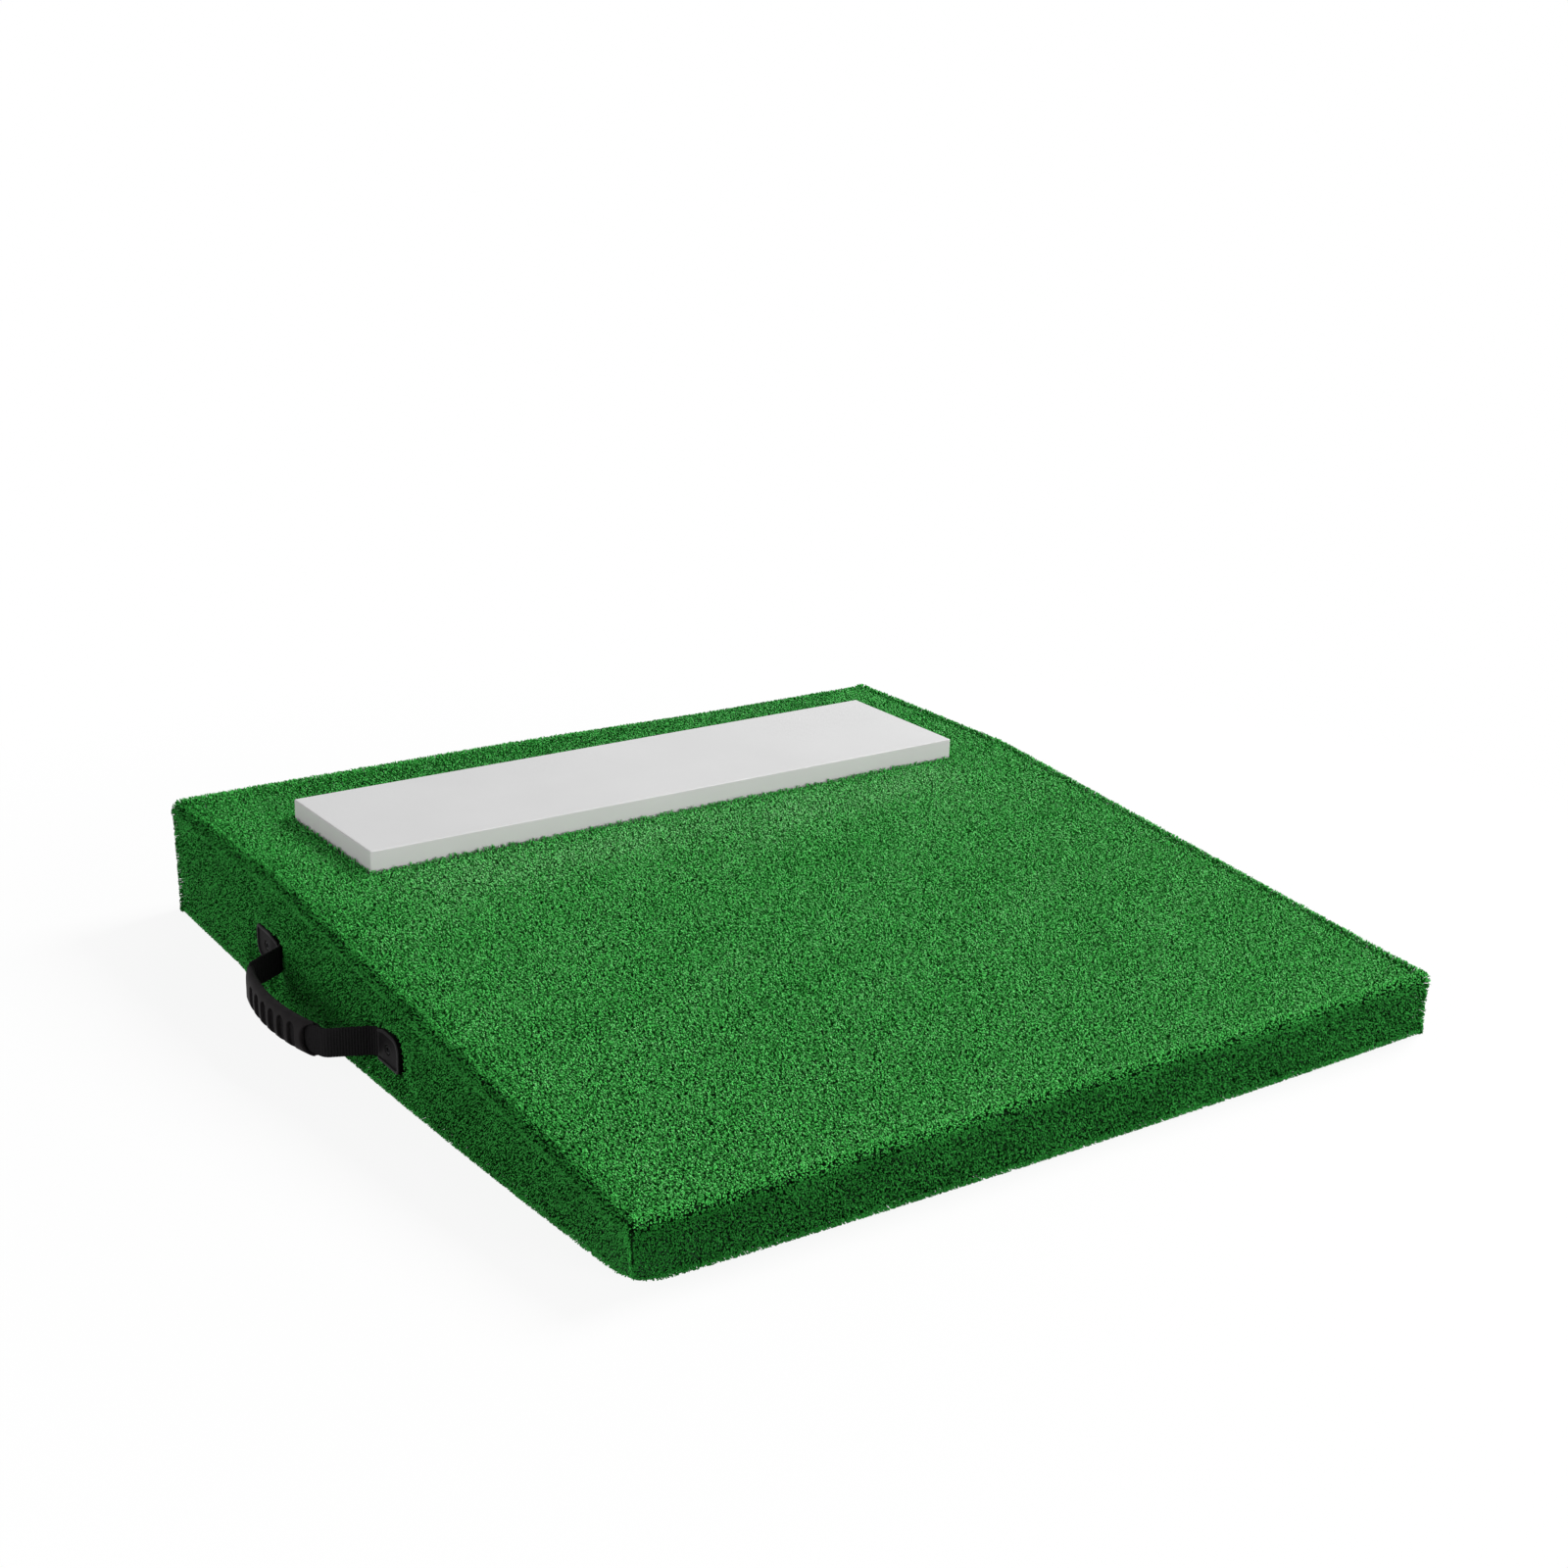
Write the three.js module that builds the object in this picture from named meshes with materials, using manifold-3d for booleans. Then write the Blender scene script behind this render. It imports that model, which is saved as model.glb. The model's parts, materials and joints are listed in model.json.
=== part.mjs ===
// A portable pitching mound: a timber wedge wrapped in artificial grass, with a pitching rubber
// bolted to its level rear part and a carrying handle on its left side.
// Millimetres, +Z up. The origin is on the floor under the middle of the mat, and +Y is the high rear.
import * as THREE from 'three';
import { mergeVertices } from 'three/addons/utils/BufferGeometryUtils.js';
import Module from 'manifold-3d';

const wasm = await Module();
wasm.setup();

// The mat as a whole, over the tips of the pile
const MAT_WIDTH = 762;
const MAT_LENGTH = 774;
const REAR_HEIGHT = 101.6;
const FRONT_HEIGHT = 50.8;
const PLATEAU_LENGTH = 235;
const CORNER_RADIUS = 12;
const TOP_EDGE_RADIUS = 10;
const BOTTOM_EDGE_RADIUS = 3;

// Turf cover
const TURF_BACKING = 1.6;
const TURF_PILE = 7.4;
const HEM_WIDTH = 40;

// Gaps between pieces that touch or pass through each other
const FIT = 0.3;
const CUT_OVERRUN = 4;

// Timber body and the sheet under it
const DECK_THICKNESS = 12;
const RAIL_THICKNESS = 18;
const STRINGER_SPACING = 250;
const BASE_BOARD_THICKNESS = 6;
const BASE_BOARD_CORNER_RADIUS = 24;
const BASE_MAT_THICKNESS = 2.5;
const BASE_MAT_MARGIN = 4;

// Pitching rubber and the bolts that hold it from below
const RUBBER_LENGTH = 609.6;
const RUBBER_WIDTH = 152.4;
const RUBBER_THICKNESS = 25.4;
const RUBBER_REAR_OFFSET = 90;
const RUBBER_CORNER_RADIUS = 3;
const RUBBER_EDGE_RADIUS = 1.8;
const RUBBER_BOLT_DIAMETER = 8;
const RUBBER_BOLT_END_DISTANCE = 55;
const BOLT_HEAD_WIDTH = 13;
const BOLT_HEAD_HEIGHT = 5.3;
const WASHER_DIAMETER = 30;
const WASHER_THICKNESS = 2;
const INSERT_DIAMETER = 14;
const INSERT_LENGTH = 16;
const INSERT_FLOOR = 2;

// Carrying handle, placed from the middle of the strap
const HANDLE_CENTRE_Y = 68;
const HANDLE_CENTRE_Z = 35.5;
const STRAP_WIDTH = 24;
const STRAP_THICKNESS = 2.6;
const STRAP_STANDOFF = 46.5;
const STRAP_ROOT_SPAN = 183;
const STRAP_END_SETBACK = 6;
const CROWN_RADIUS = 210;
const CROWN_SPAN = 133;
const SHOULDER_RADIUS = 10;
const ROOT_RADIUS = 6;
const GRIP_LENGTH = 120;
const GRIP_WIDTH = 28;
const GRIP_OUTER_WALL = 4.4;
const GRIP_INNER_WALL = 1.8;
const GRIP_SQUARENESS = 3;
const GRIP_END_RADIUS = 9;
const GRIP_MOUTH_RADIUS = 13;
const GRIP_MOUTH_DEPTH = 10;
const GRIP_SLOT_COUNT = 6;
const GRIP_SLOT_PITCH = 15.5;
const GRIP_SLOT_LENGTH = 19.5;
const GRIP_SLOT_WIDTH = 8;
const GRIP_SLOT_DEPTH = 2.6;
const GRIP_SLOT_DROP = 2.6;
const CAP_LENGTH = 41;
const CAP_HEIGHT = 30;
const CAP_ROUND_CORNER = 11;
const CAP_SQUARE_CORNER = 5;
const CAP_INNER_RADIUS = 2;
const CAP_RISE = 3;
const CAP_BED_DEPTH = 3.2;
const CAP_EDGE_RADIUS = 0.9;
const CAP_RIM_WIDTH = 2.6;
const CAP_RIM_HEIGHT = 0.9;
const CAP_INNER_GAP = 1;
const CAP_LIP = 0.6;
const CAP_LIP_SLOPE = 11;
const HANDLE_SCREW_DIAMETER = 4;
const HANDLE_SCREW_HEAD_DIAMETER = 7.5;
const HANDLE_SCREW_HEAD_HEIGHT = 1.2;
const TEE_NUT_FLANGE_DIAMETER = 15;
const TEE_NUT_FLANGE_THICKNESS = 1.5;
const TEE_NUT_BARREL_DIAMETER = 6.5;
const TEE_NUT_BARREL_LENGTH = 9;
const SCREW_END_OVERRUN = 3;

// Wood screws
const SCREW_DIAMETER = 4.5;
const SCREW_HEAD_DIAMETER = 9;
const SCREW_POINT_LENGTH = 5;
const SCREW_SINK = 0.8;
const FRAME_SCREW_SINK = 4;
const DECK_SCREW_LENGTH = 30;
const BASE_SCREW_LENGTH = 20;
const FRAME_SCREW_LENGTH = 45;
const DECK_SCREW_SETBACK = 32;
const BASE_SCREW_SETBACK = 130;

// Facets
const EDGE_STEPS = 3;
const CORNER_STEPS = 5;
const ROUND_STEPS = 12;
const SCREW_STEPS = 8;
const ARC_STEPS = 6;
const SECTION_STEPS = 20;
const CROWN_STEPS = 120;
const BEVEL_STEPS = 2;
const HEXAGON_SIDES = 6;
const SHARPEST_RADIUS = 0.5;
const MERGE_DISTANCE = 1e-4;

// Places worked out from the sizes above
const TURF = TURF_BACKING + TURF_PILE;
const BREAK_Y = MAT_LENGTH / 2 - PLATEAU_LENGTH;
const SLOPE = (REAR_HEIGHT - FRONT_HEIGHT) / (MAT_LENGTH - PLATEAU_LENGTH);
const BOARD_BOTTOM = BASE_MAT_THICKNESS + FIT;
const BOARD_TOP = BOARD_BOTTOM + BASE_BOARD_THICKNESS;
const HEM_TOP = BOARD_BOTTOM - FIT;
const HEM_BOTTOM = HEM_TOP - TURF_BACKING;
const RAIL_BOTTOM = BOARD_TOP + FIT;
const CORE_INSET = TURF + FIT;
const CORE_HALF_WIDTH = MAT_WIDTH / 2 - CORE_INSET;
const CORE_HALF_LENGTH = MAT_LENGTH / 2 - CORE_INSET;
const SIDE_RAIL_X = CORE_HALF_WIDTH - RAIL_THICKNESS / 2;
const STRINGER_X = STRINGER_SPACING / 2;
const INNER_HALF_WIDTH = CORE_HALF_WIDTH - RAIL_THICKNESS - FIT;
const INNER_HALF_LENGTH = CORE_HALF_LENGTH - RAIL_THICKNESS - FIT;
const RUBBER_Y = MAT_LENGTH / 2 - RUBBER_REAR_OFFSET - RUBBER_WIDTH / 2;
const RUBBER_BOTTOM = REAR_HEIGHT - TURF;
const STRAP_LIE = STRAP_THICKNESS / 2 + FIT - CAP_BED_DEPTH;
const CAP_CENTRE = STRAP_ROOT_SPAN / 2 + CAP_INNER_GAP + CAP_LENGTH / 2;
const STRAP_END = CAP_CENTRE + CAP_LENGTH / 2 - STRAP_END_SETBACK;

// Height of the pile tips: level at the rear, then a straight fall to the front
function pileHeight(y) {
  return REAR_HEIGHT - SLOPE * Math.max(0, BREAK_Y - y);
}

function deckTop(y) {
  return pileHeight(y) - CORE_INSET;
}

function deckUnderside(y) {
  return deckTop(y) - DECK_THICKNESS;
}

function railTop(y) {
  return deckUnderside(y) - FIT;
}

// Turns a closed geometry into a solid that can be joined and cut, with its faces pointing out
function solid(geometry) {
  const bare = geometry.index ? geometry.toNonIndexed() : geometry.clone();
  bare.deleteAttribute('normal');
  bare.deleteAttribute('uv');
  const merged = mergeVertices(bare, MERGE_DISTANCE);
  const corners = merged.index.array;
  const points = merged.attributes.position.array;
  const kept = [];
  let volume = 0;
  const a = new THREE.Vector3();
  const b = new THREE.Vector3();
  const c = new THREE.Vector3();
  for (let i = 0; i < corners.length; i += 3) {
    const [p, q, r] = corners.slice(i, i + 3);
    if (p === q || q === r || r === p) continue;
    a.fromArray(points, 3 * p);
    b.fromArray(points, 3 * q);
    c.fromArray(points, 3 * r);
    volume += a.dot(b.cross(c));
    kept.push([p, q, r]);
  }
  const triangles = kept.map(([p, q, r]) => (volume > 0 ? [p, q, r] : [p, r, q]));
  return new wasm.Manifold(new wasm.Mesh({
    numProp: 3,
    vertProperties: Float32Array.from(points),
    triVerts: Uint32Array.from(triangles.flat()),
  }));
}

function geometryOf(body) {
  const mesh = body.getMesh();
  const geometry = new THREE.BufferGeometry();
  geometry.setAttribute('position', new THREE.BufferAttribute(Float32Array.from(mesh.vertProperties), 3));
  geometry.setIndex(Array.from(mesh.triVerts));
  geometry.computeVertexNormals();
  return geometry;
}

function box(fromX, toX, fromY, toY, fromZ, toZ) {
  const geometry = new THREE.BoxGeometry(toX - fromX, toY - fromY, toZ - fromZ);
  geometry.translate((fromX + toX) / 2, (fromY + toY) / 2, (fromZ + toZ) / 2);
  return solid(geometry);
}

// A side outline of [y, z] points carried along X
function sidePrism(outline, fromX, toX) {
  const shape = new THREE.Shape(outline.map(([y, z]) => new THREE.Vector2(y, z)));
  const geometry = new THREE.ExtrudeGeometry(shape, { depth: toX - fromX, bevelEnabled: false });
  const lie = new THREE.Matrix4().makeBasis(
    new THREE.Vector3(0, 1, 0),
    new THREE.Vector3(0, 0, 1),
    new THREE.Vector3(1, 0, 0),
  );
  geometry.applyMatrix4(lie).translate(fromX, 0, 0);
  return solid(geometry);
}

// A plan outline carried upwards
function prism(shape, fromZ, toZ) {
  const settings = { depth: toZ - fromZ, bevelEnabled: false, curveSegments: EDGE_STEPS };
  return solid(new THREE.ExtrudeGeometry(shape, settings).translate(0, 0, fromZ));
}

function roundedRectangle(width, length, radius) {
  const x = width / 2 - radius;
  const y = length / 2 - radius;
  const shape = new THREE.Shape();
  shape.absarc(x, y, radius, 0, Math.PI / 2);
  shape.absarc(-x, y, radius, Math.PI / 2, Math.PI);
  shape.absarc(-x, -y, radius, Math.PI, 1.5 * Math.PI);
  shape.absarc(x, -y, radius, 1.5 * Math.PI, 2 * Math.PI);
  shape.closePath();
  return shape;
}

// The mat's plan outline drawn in by an inset
function planShape(inset) {
  const radius = Math.max(CORNER_RADIUS - inset, SHARPEST_RADIUS);
  return roundedRectangle(MAT_WIDTH - 2 * inset, MAT_LENGTH - 2 * inset, radius);
}

// A round piece turned about Z from [radius, z] points
function turned(profile, steps) {
  const points = profile.map(([radius, z]) => new THREE.Vector2(radius, z));
  return solid(new THREE.LatheGeometry(points, steps).rotateX(Math.PI / 2));
}

// One ring of the wedge: the plan outline drawn in by an inset, with two extra points where the
// slope starts, and a height for each point from its place along Y
function wedgeRing(inset, heightAt) {
  const radius = Math.max(CORNER_RADIUS - inset, SHARPEST_RADIUS);
  const x = MAT_WIDTH / 2 - inset;
  const y = MAT_LENGTH / 2 - inset;
  const ring = [];
  const add = (px, py) => ring.push(new THREE.Vector3(px, py, heightAt(py)));
  const corner = (sideX, sideY, startAngle) => {
    for (let step = 0; step <= CORNER_STEPS; step++) {
      const angle = startAngle + (step / CORNER_STEPS) * (Math.PI / 2);
      const px = sideX * (x - radius) + radius * Math.cos(angle);
      add(px, sideY * (y - radius) + radius * Math.sin(angle));
    }
  };
  add(x, BREAK_Y);
  corner(1, 1, 0);
  corner(-1, 1, Math.PI / 2);
  add(-x, BREAK_Y);
  corner(-1, -1, Math.PI);
  corner(1, -1, 1.5 * Math.PI);
  return ring;
}

// Skins a stack of rings and closes both ends; the top end folds where the slope starts
function loft(rings) {
  const count = rings[0].length;
  const half = count / 2;
  const top = (rings.length - 1) * count;
  const corners = [];
  for (let level = 0; level + 1 < rings.length; level++) {
    for (let i = 0; i < count; i++) {
      const a = level * count + i;
      const b = level * count + ((i + 1) % count);
      corners.push(a, b, b + count, a, b + count, a + count);
    }
  }
  for (let i = 1; i + 1 < count; i++) corners.push(0, i + 1, i);
  for (const start of [0, half]) {
    for (let i = 1; i < half; i++) {
      corners.push(top + start, top + start + i, top + ((start + i + 1) % count));
    }
  }
  const geometry = new THREE.BufferGeometry().setFromPoints(rings.flat());
  geometry.setIndex(corners);
  return geometry;
}

// The wedge drawn in by an inset on its sides and top, standing on a flat floor
function wedge(inset, floor, floorRadius) {
  const topRadius = Math.max(TOP_EDGE_RADIUS - inset, SHARPEST_RADIUS);
  const rings = [];
  for (let step = 0; step <= EDGE_STEPS; step++) {
    const angle = (step / EDGE_STEPS) * (Math.PI / 2);
    const rise = floorRadius * (1 - Math.cos(angle));
    rings.push(wedgeRing(inset + floorRadius * (1 - Math.sin(angle)), () => floor + rise));
  }
  for (let step = 0; step <= EDGE_STEPS; step++) {
    const angle = (step / EDGE_STEPS) * (Math.PI / 2);
    const drop = inset + topRadius * (1 - Math.sin(angle));
    rings.push(wedgeRing(inset + topRadius * (1 - Math.cos(angle)), (y) => pileHeight(y) - drop));
  }
  return solid(loft(rings));
}

// A plank on edge whose top follows the underside of the deck
function plank(fromX, toX, fromY, toY) {
  const outline = [[fromY, RAIL_BOTTOM], [toY, RAIL_BOTTOM], [toY, railTop(toY)]];
  if (fromY < BREAK_Y && BREAK_Y < toY) outline.push([BREAK_Y, railTop(BREAK_Y)]);
  outline.push([fromY, railTop(fromY)]);
  return sidePrism(outline, fromX, toX);
}

// A countersunk wood screw pointing down from its head at the origin, grown by a gap where it cuts
function woodScrew(length, gap) {
  const head = SCREW_HEAD_DIAMETER / 2 + gap;
  const shank = SCREW_DIAMETER / 2 + gap;
  const top = gap > 0 ? CUT_OVERRUN : 0;
  const neck = (SCREW_DIAMETER - SCREW_HEAD_DIAMETER) / 2;
  const profile = [[0, top], [head, top]];
  if (gap > 0) profile.push([head, 0]);
  profile.push([shank, neck], [shank, SCREW_POINT_LENGTH - length], [0, -length - gap]);
  return turned(profile, SCREW_STEPS);
}

// A place for a piece: its position and the turn that brings its axis round
function placed(x, y, z, turnY = 0) {
  return new THREE.Matrix4().makeRotationY(turnY).setPosition(x, y, z);
}

// Handle frame: X runs rearwards along the side, Y points out from the pile tips, Z is up
const handle = new THREE.Group();
handle.position.set(-MAT_WIDTH / 2, HANDLE_CENTRE_Y, HANDLE_CENTRE_Z);
handle.rotation.z = Math.PI / 2;
handle.updateMatrix();

// Points of an arc, from one angle to another, with angles measured from the handle's outward axis
function arcPoints(centre, radius, fromAngle, toAngle, steps) {
  return Array.from({ length: steps + 1 }, (_, step) => {
    const angle = fromAngle + ((toAngle - fromAngle) * step) / steps;
    return new THREE.Vector2(
      centre.x + radius * Math.sin(angle),
      centre.y + radius * Math.cos(angle),
    );
  });
}

// Rear half of one face of the strap: a gentle crown, a shoulder, a straight leg that touches both
// bends, a root bend, and the end that lies flat under the cap
function strapHalf(offset) {
  const crownAngle = Math.asin(CROWN_SPAN / 2 / CROWN_RADIUS);
  const crown = new THREE.Vector2(0, STRAP_STANDOFF - CROWN_RADIUS);
  const toShoulder = new THREE.Vector2(Math.sin(crownAngle), Math.cos(crownAngle));
  const shoulder = toShoulder.multiplyScalar(CROWN_RADIUS - SHOULDER_RADIUS).add(crown);
  const root = new THREE.Vector2(STRAP_ROOT_SPAN / 2, STRAP_LIE + ROOT_RADIUS);
  const across = root.clone().sub(shoulder);
  const bendSum = SHOULDER_RADIUS + ROOT_RADIUS;
  const legAngle = Math.atan2(across.x, across.y) - Math.acos(bendSum / across.length());
  return [
    ...arcPoints(crown, CROWN_RADIUS + offset, 0, crownAngle, ARC_STEPS),
    ...arcPoints(shoulder, SHOULDER_RADIUS + offset, crownAngle, legAngle, ARC_STEPS).slice(1),
    ...arcPoints(root, offset - ROOT_RADIUS, legAngle, 0, ARC_STEPS),
    new THREE.Vector2(STRAP_END, STRAP_LIE + offset),
  ];
}

const mirrored = (points) => points.map((point) => new THREE.Vector2(-point.x, point.y));

// The whole band, from one end to the other, grown by a gap where it cuts
function strapBand(gap) {
  const outer = strapHalf(STRAP_THICKNESS / 2 + gap);
  const inner = strapHalf(-STRAP_THICKNESS / 2 - gap);
  const reach = new THREE.Vector2(gap, 0);
  outer[outer.length - 1].add(reach);
  inner[inner.length - 1].add(reach);
  const outline = [
    ...mirrored(outer).slice(1).reverse(),
    ...outer,
    ...inner.slice().reverse(),
    ...mirrored(inner).slice(1),
  ];
  return prism(new THREE.Shape(outline), -STRAP_WIDTH / 2 - gap, STRAP_WIDTH / 2 + gap);
}

// The grip's section as [radius, z] points about the axis of the crown: a rounded bar with a flatter
// side towards the mat
function gripSection() {
  const power = 2 / GRIP_SQUARENESS;
  const swell = (value) => Math.sign(value) * Math.abs(value) ** power;
  return Array.from({ length: SECTION_STEPS + 1 }, (_, step) => {
    const angle = ((step % SECTION_STEPS) / SECTION_STEPS) * 2 * Math.PI;
    const wall = Math.sin(angle) > 0 ? GRIP_OUTER_WALL : GRIP_INNER_WALL;
    const out = (STRAP_THICKNESS / 2 + FIT + wall) * swell(Math.sin(angle));
    return [CROWN_RADIUS + out, (GRIP_WIDTH / 2) * swell(Math.cos(angle))];
  });
}

// The grip's sleeve: a bar turned about the axis of the crown and cut to length with round corners,
// with room for the strap, a row of slots in its outer wall, and a scooped mouth at each end
function gripSleeve() {
  const centre = new THREE.Vector2(0, STRAP_STANDOFF - CROWN_RADIUS);
  const reach = GRIP_OUTER_WALL + CUT_OVERRUN;
  const frontView = roundedRectangle(GRIP_LENGTH, GRIP_WIDTH, GRIP_END_RADIUS);
  const length = solid(new THREE.ExtrudeGeometry(frontView, {
    depth: STRAP_STANDOFF + reach,
    bevelEnabled: false,
    curveSegments: EDGE_STEPS,
  }).rotateX(-Math.PI / 2));
  let sleeve = moved(turned(gripSection(), CROWN_STEPS), centre.x, centre.y, 0)
    .intersect(length)
    .subtract(strapBand(FIT));

  const atAngle = (geometryOnCrown, angle) => {
    geometryOnCrown.translate(0, CROWN_RADIUS, 0).rotateZ(-angle);
    return solid(geometryOnCrown.translate(centre.x, centre.y, 0));
  };
  const slotFloor = STRAP_THICKNESS / 2 + FIT + GRIP_OUTER_WALL - GRIP_SLOT_DEPTH;
  for (let i = 0; i < GRIP_SLOT_COUNT; i++) {
    const along = (i - (GRIP_SLOT_COUNT - 1) / 2) * GRIP_SLOT_PITCH;
    const slot = roundedRectangle(GRIP_SLOT_WIDTH, GRIP_SLOT_LENGTH, GRIP_SLOT_WIDTH / 2);
    const cutter = new THREE.ExtrudeGeometry(slot, {
      depth: GRIP_SLOT_DEPTH + CUT_OVERRUN,
      bevelEnabled: false,
      curveSegments: EDGE_STEPS,
    }).rotateX(-Math.PI / 2);
    cutter.translate(0, slotFloor, -GRIP_SLOT_DROP);
    sleeve = sleeve.subtract(atAngle(cutter, along / CROWN_RADIUS));
  }
  for (const side of [-1, 1]) {
    const scoop = new THREE.CylinderGeometry(GRIP_MOUTH_RADIUS, GRIP_MOUTH_RADIUS, reach, ROUND_STEPS);
    scoop.translate(side * (GRIP_MOUTH_RADIUS - GRIP_MOUTH_DEPTH), STRAP_THICKNESS / 2 + reach / 2, 0);
    sleeve = sleeve.subtract(atAngle(scoop, (side * GRIP_LENGTH) / 2 / CROWN_RADIUS));
  }
  return sleeve;
}

// An end cap's outline along the side, grown by a gap: one outer corner is round and the other nearly
// square, and the mouth may reach further
function capOutline(gap, mouthReach = gap) {
  const mouth = -CAP_LENGTH / 2 - mouthReach;
  const end = CAP_LENGTH / 2 + gap;
  const half = CAP_HEIGHT / 2 + gap;
  const round = CAP_ROUND_CORNER + gap;
  const square = CAP_SQUARE_CORNER + gap;
  const mouthRadius = CAP_INNER_RADIUS + Math.max(gap, 0);
  const shape = new THREE.Shape();
  shape.absarc(mouth + mouthRadius, -half + mouthRadius, mouthRadius, Math.PI, 1.5 * Math.PI);
  shape.absarc(end - round, -half + round, round, 1.5 * Math.PI, 2 * Math.PI);
  shape.absarc(end - square, half - square, square, 0, Math.PI / 2);
  shape.absarc(mouth + mouthRadius, half - mouthRadius, mouthRadius, Math.PI / 2, Math.PI);
  shape.closePath();
  return shape;
}

// An outline on the side carried inwards from one distance off the pile tips to another
function sidePad(shape, outer, inner, edge) {
  const geometry = new THREE.ExtrudeGeometry(shape, {
    depth: outer - inner - 2 * edge,
    bevelEnabled: edge > 0,
    bevelThickness: edge,
    bevelSize: edge,
    bevelOffset: -edge,
    bevelSegments: 1,
    curveSegments: EDGE_STEPS,
  });
  return geometry.translate(0, 0, edge).rotateX(Math.PI / 2).translate(0, outer, 0);
}

// Moves a handle piece to its end of the strap: the front one is the rear one turned half round
function atEnd(geometry, end) {
  geometry.translate(CAP_CENTRE, 0, 0);
  if (end === 'front') geometry.rotateY(Math.PI);
  return geometry;
}

// A machine screw along the handle's outward axis, its head in the cap, grown by a gap where it cuts
const SCREW_HEAD_TOP = CAP_RISE - CAP_RIM_HEIGHT;
const SCREW_HEAD_SEAT = SCREW_HEAD_TOP - HANDLE_SCREW_HEAD_HEIGHT;
const RAIL_INNER_FACE = -CORE_INSET - RAIL_THICKNESS;
const TEE_NUT_FACE = RAIL_INNER_FACE - FIT;
const HANDLE_SCREW_END = TEE_NUT_FACE - TEE_NUT_FLANGE_THICKNESS - SCREW_END_OVERRUN;

function handleScrew(gap) {
  const head = HANDLE_SCREW_HEAD_DIAMETER / 2 + gap;
  const shank = HANDLE_SCREW_DIAMETER / 2 + gap;
  const top = gap > 0 ? CAP_RISE + CUT_OVERRUN : SCREW_HEAD_TOP;
  const points = [
    [0, top], [head, top], [head, SCREW_HEAD_SEAT - gap],
    [shank, SCREW_HEAD_SEAT - gap], [shank, HANDLE_SCREW_END - gap], [0, HANDLE_SCREW_END - gap],
  ];
  return new THREE.LatheGeometry(points.map(([r, y]) => new THREE.Vector2(r, y)), ROUND_STEPS);
}

// A tee nut: a flange against the inside of the rail and a barrel pressed into it
function teeNut() {
  const bore = HANDLE_SCREW_DIAMETER / 2 + FIT;
  const flange = TEE_NUT_FLANGE_DIAMETER / 2;
  const barrel = TEE_NUT_BARREL_DIAMETER / 2;
  const back = TEE_NUT_FACE - TEE_NUT_FLANGE_THICKNESS;
  const tip = TEE_NUT_FACE + TEE_NUT_BARREL_LENGTH;
  const points = [
    [bore, back], [flange, back], [flange, TEE_NUT_FACE],
    [barrel, TEE_NUT_FACE], [barrel, tip], [bore, tip], [bore, back],
  ];
  return new THREE.LatheGeometry(points.map(([r, y]) => new THREE.Vector2(r, y)), ROUND_STEPS);
}

function teeNutHole() {
  const radius = TEE_NUT_BARREL_DIAMETER / 2 + FIT;
  const depth = TEE_NUT_BARREL_LENGTH + 2 * FIT;
  const hole = new THREE.CylinderGeometry(radius, radius, depth + CUT_OVERRUN, ROUND_STEPS);
  return hole.translate(0, RAIL_INNER_FACE + (depth - CUT_OVERRUN) / 2, 0);
}

// What is cut from a cap's roof so that it thins to a lip where the strap comes out
function mouthSlope() {
  const mouth = -CAP_LENGTH / 2;
  const lip = STRAP_LIE + STRAP_THICKNESS / 2 + FIT + CAP_LIP;
  const above = CAP_RISE + CUT_OVERRUN;
  const outline = [
    [mouth, lip], [mouth + CAP_LIP_SLOPE, SCREW_HEAD_TOP], [mouth + CAP_LIP_SLOPE, above],
    [mouth - CUT_OVERRUN, above], [mouth - CUT_OVERRUN, lip],
  ];
  const half = CAP_HEIGHT / 2 - CAP_RIM_WIDTH;
  return geometryOf(prism(new THREE.Shape(outline.map(([x, y]) => new THREE.Vector2(x, y))), -half, half));
}

function endCap(end) {
  const bed = FIT - CAP_BED_DEPTH;
  const face = capOutline(-CAP_RIM_WIDTH, CUT_OVERRUN);
  const recess = sidePad(face, CAP_RISE + CUT_OVERRUN, SCREW_HEAD_TOP, 0);
  const body = solid(atEnd(sidePad(capOutline(0), CAP_RISE, bed, CAP_EDGE_RADIUS), end));
  return body
    .subtract(solid(atEnd(recess, end)))
    .subtract(solid(atEnd(mouthSlope(), end)))
    .subtract(strapBand(FIT))
    .subtract(solid(atEnd(handleScrew(FIT), end)));
}

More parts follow.
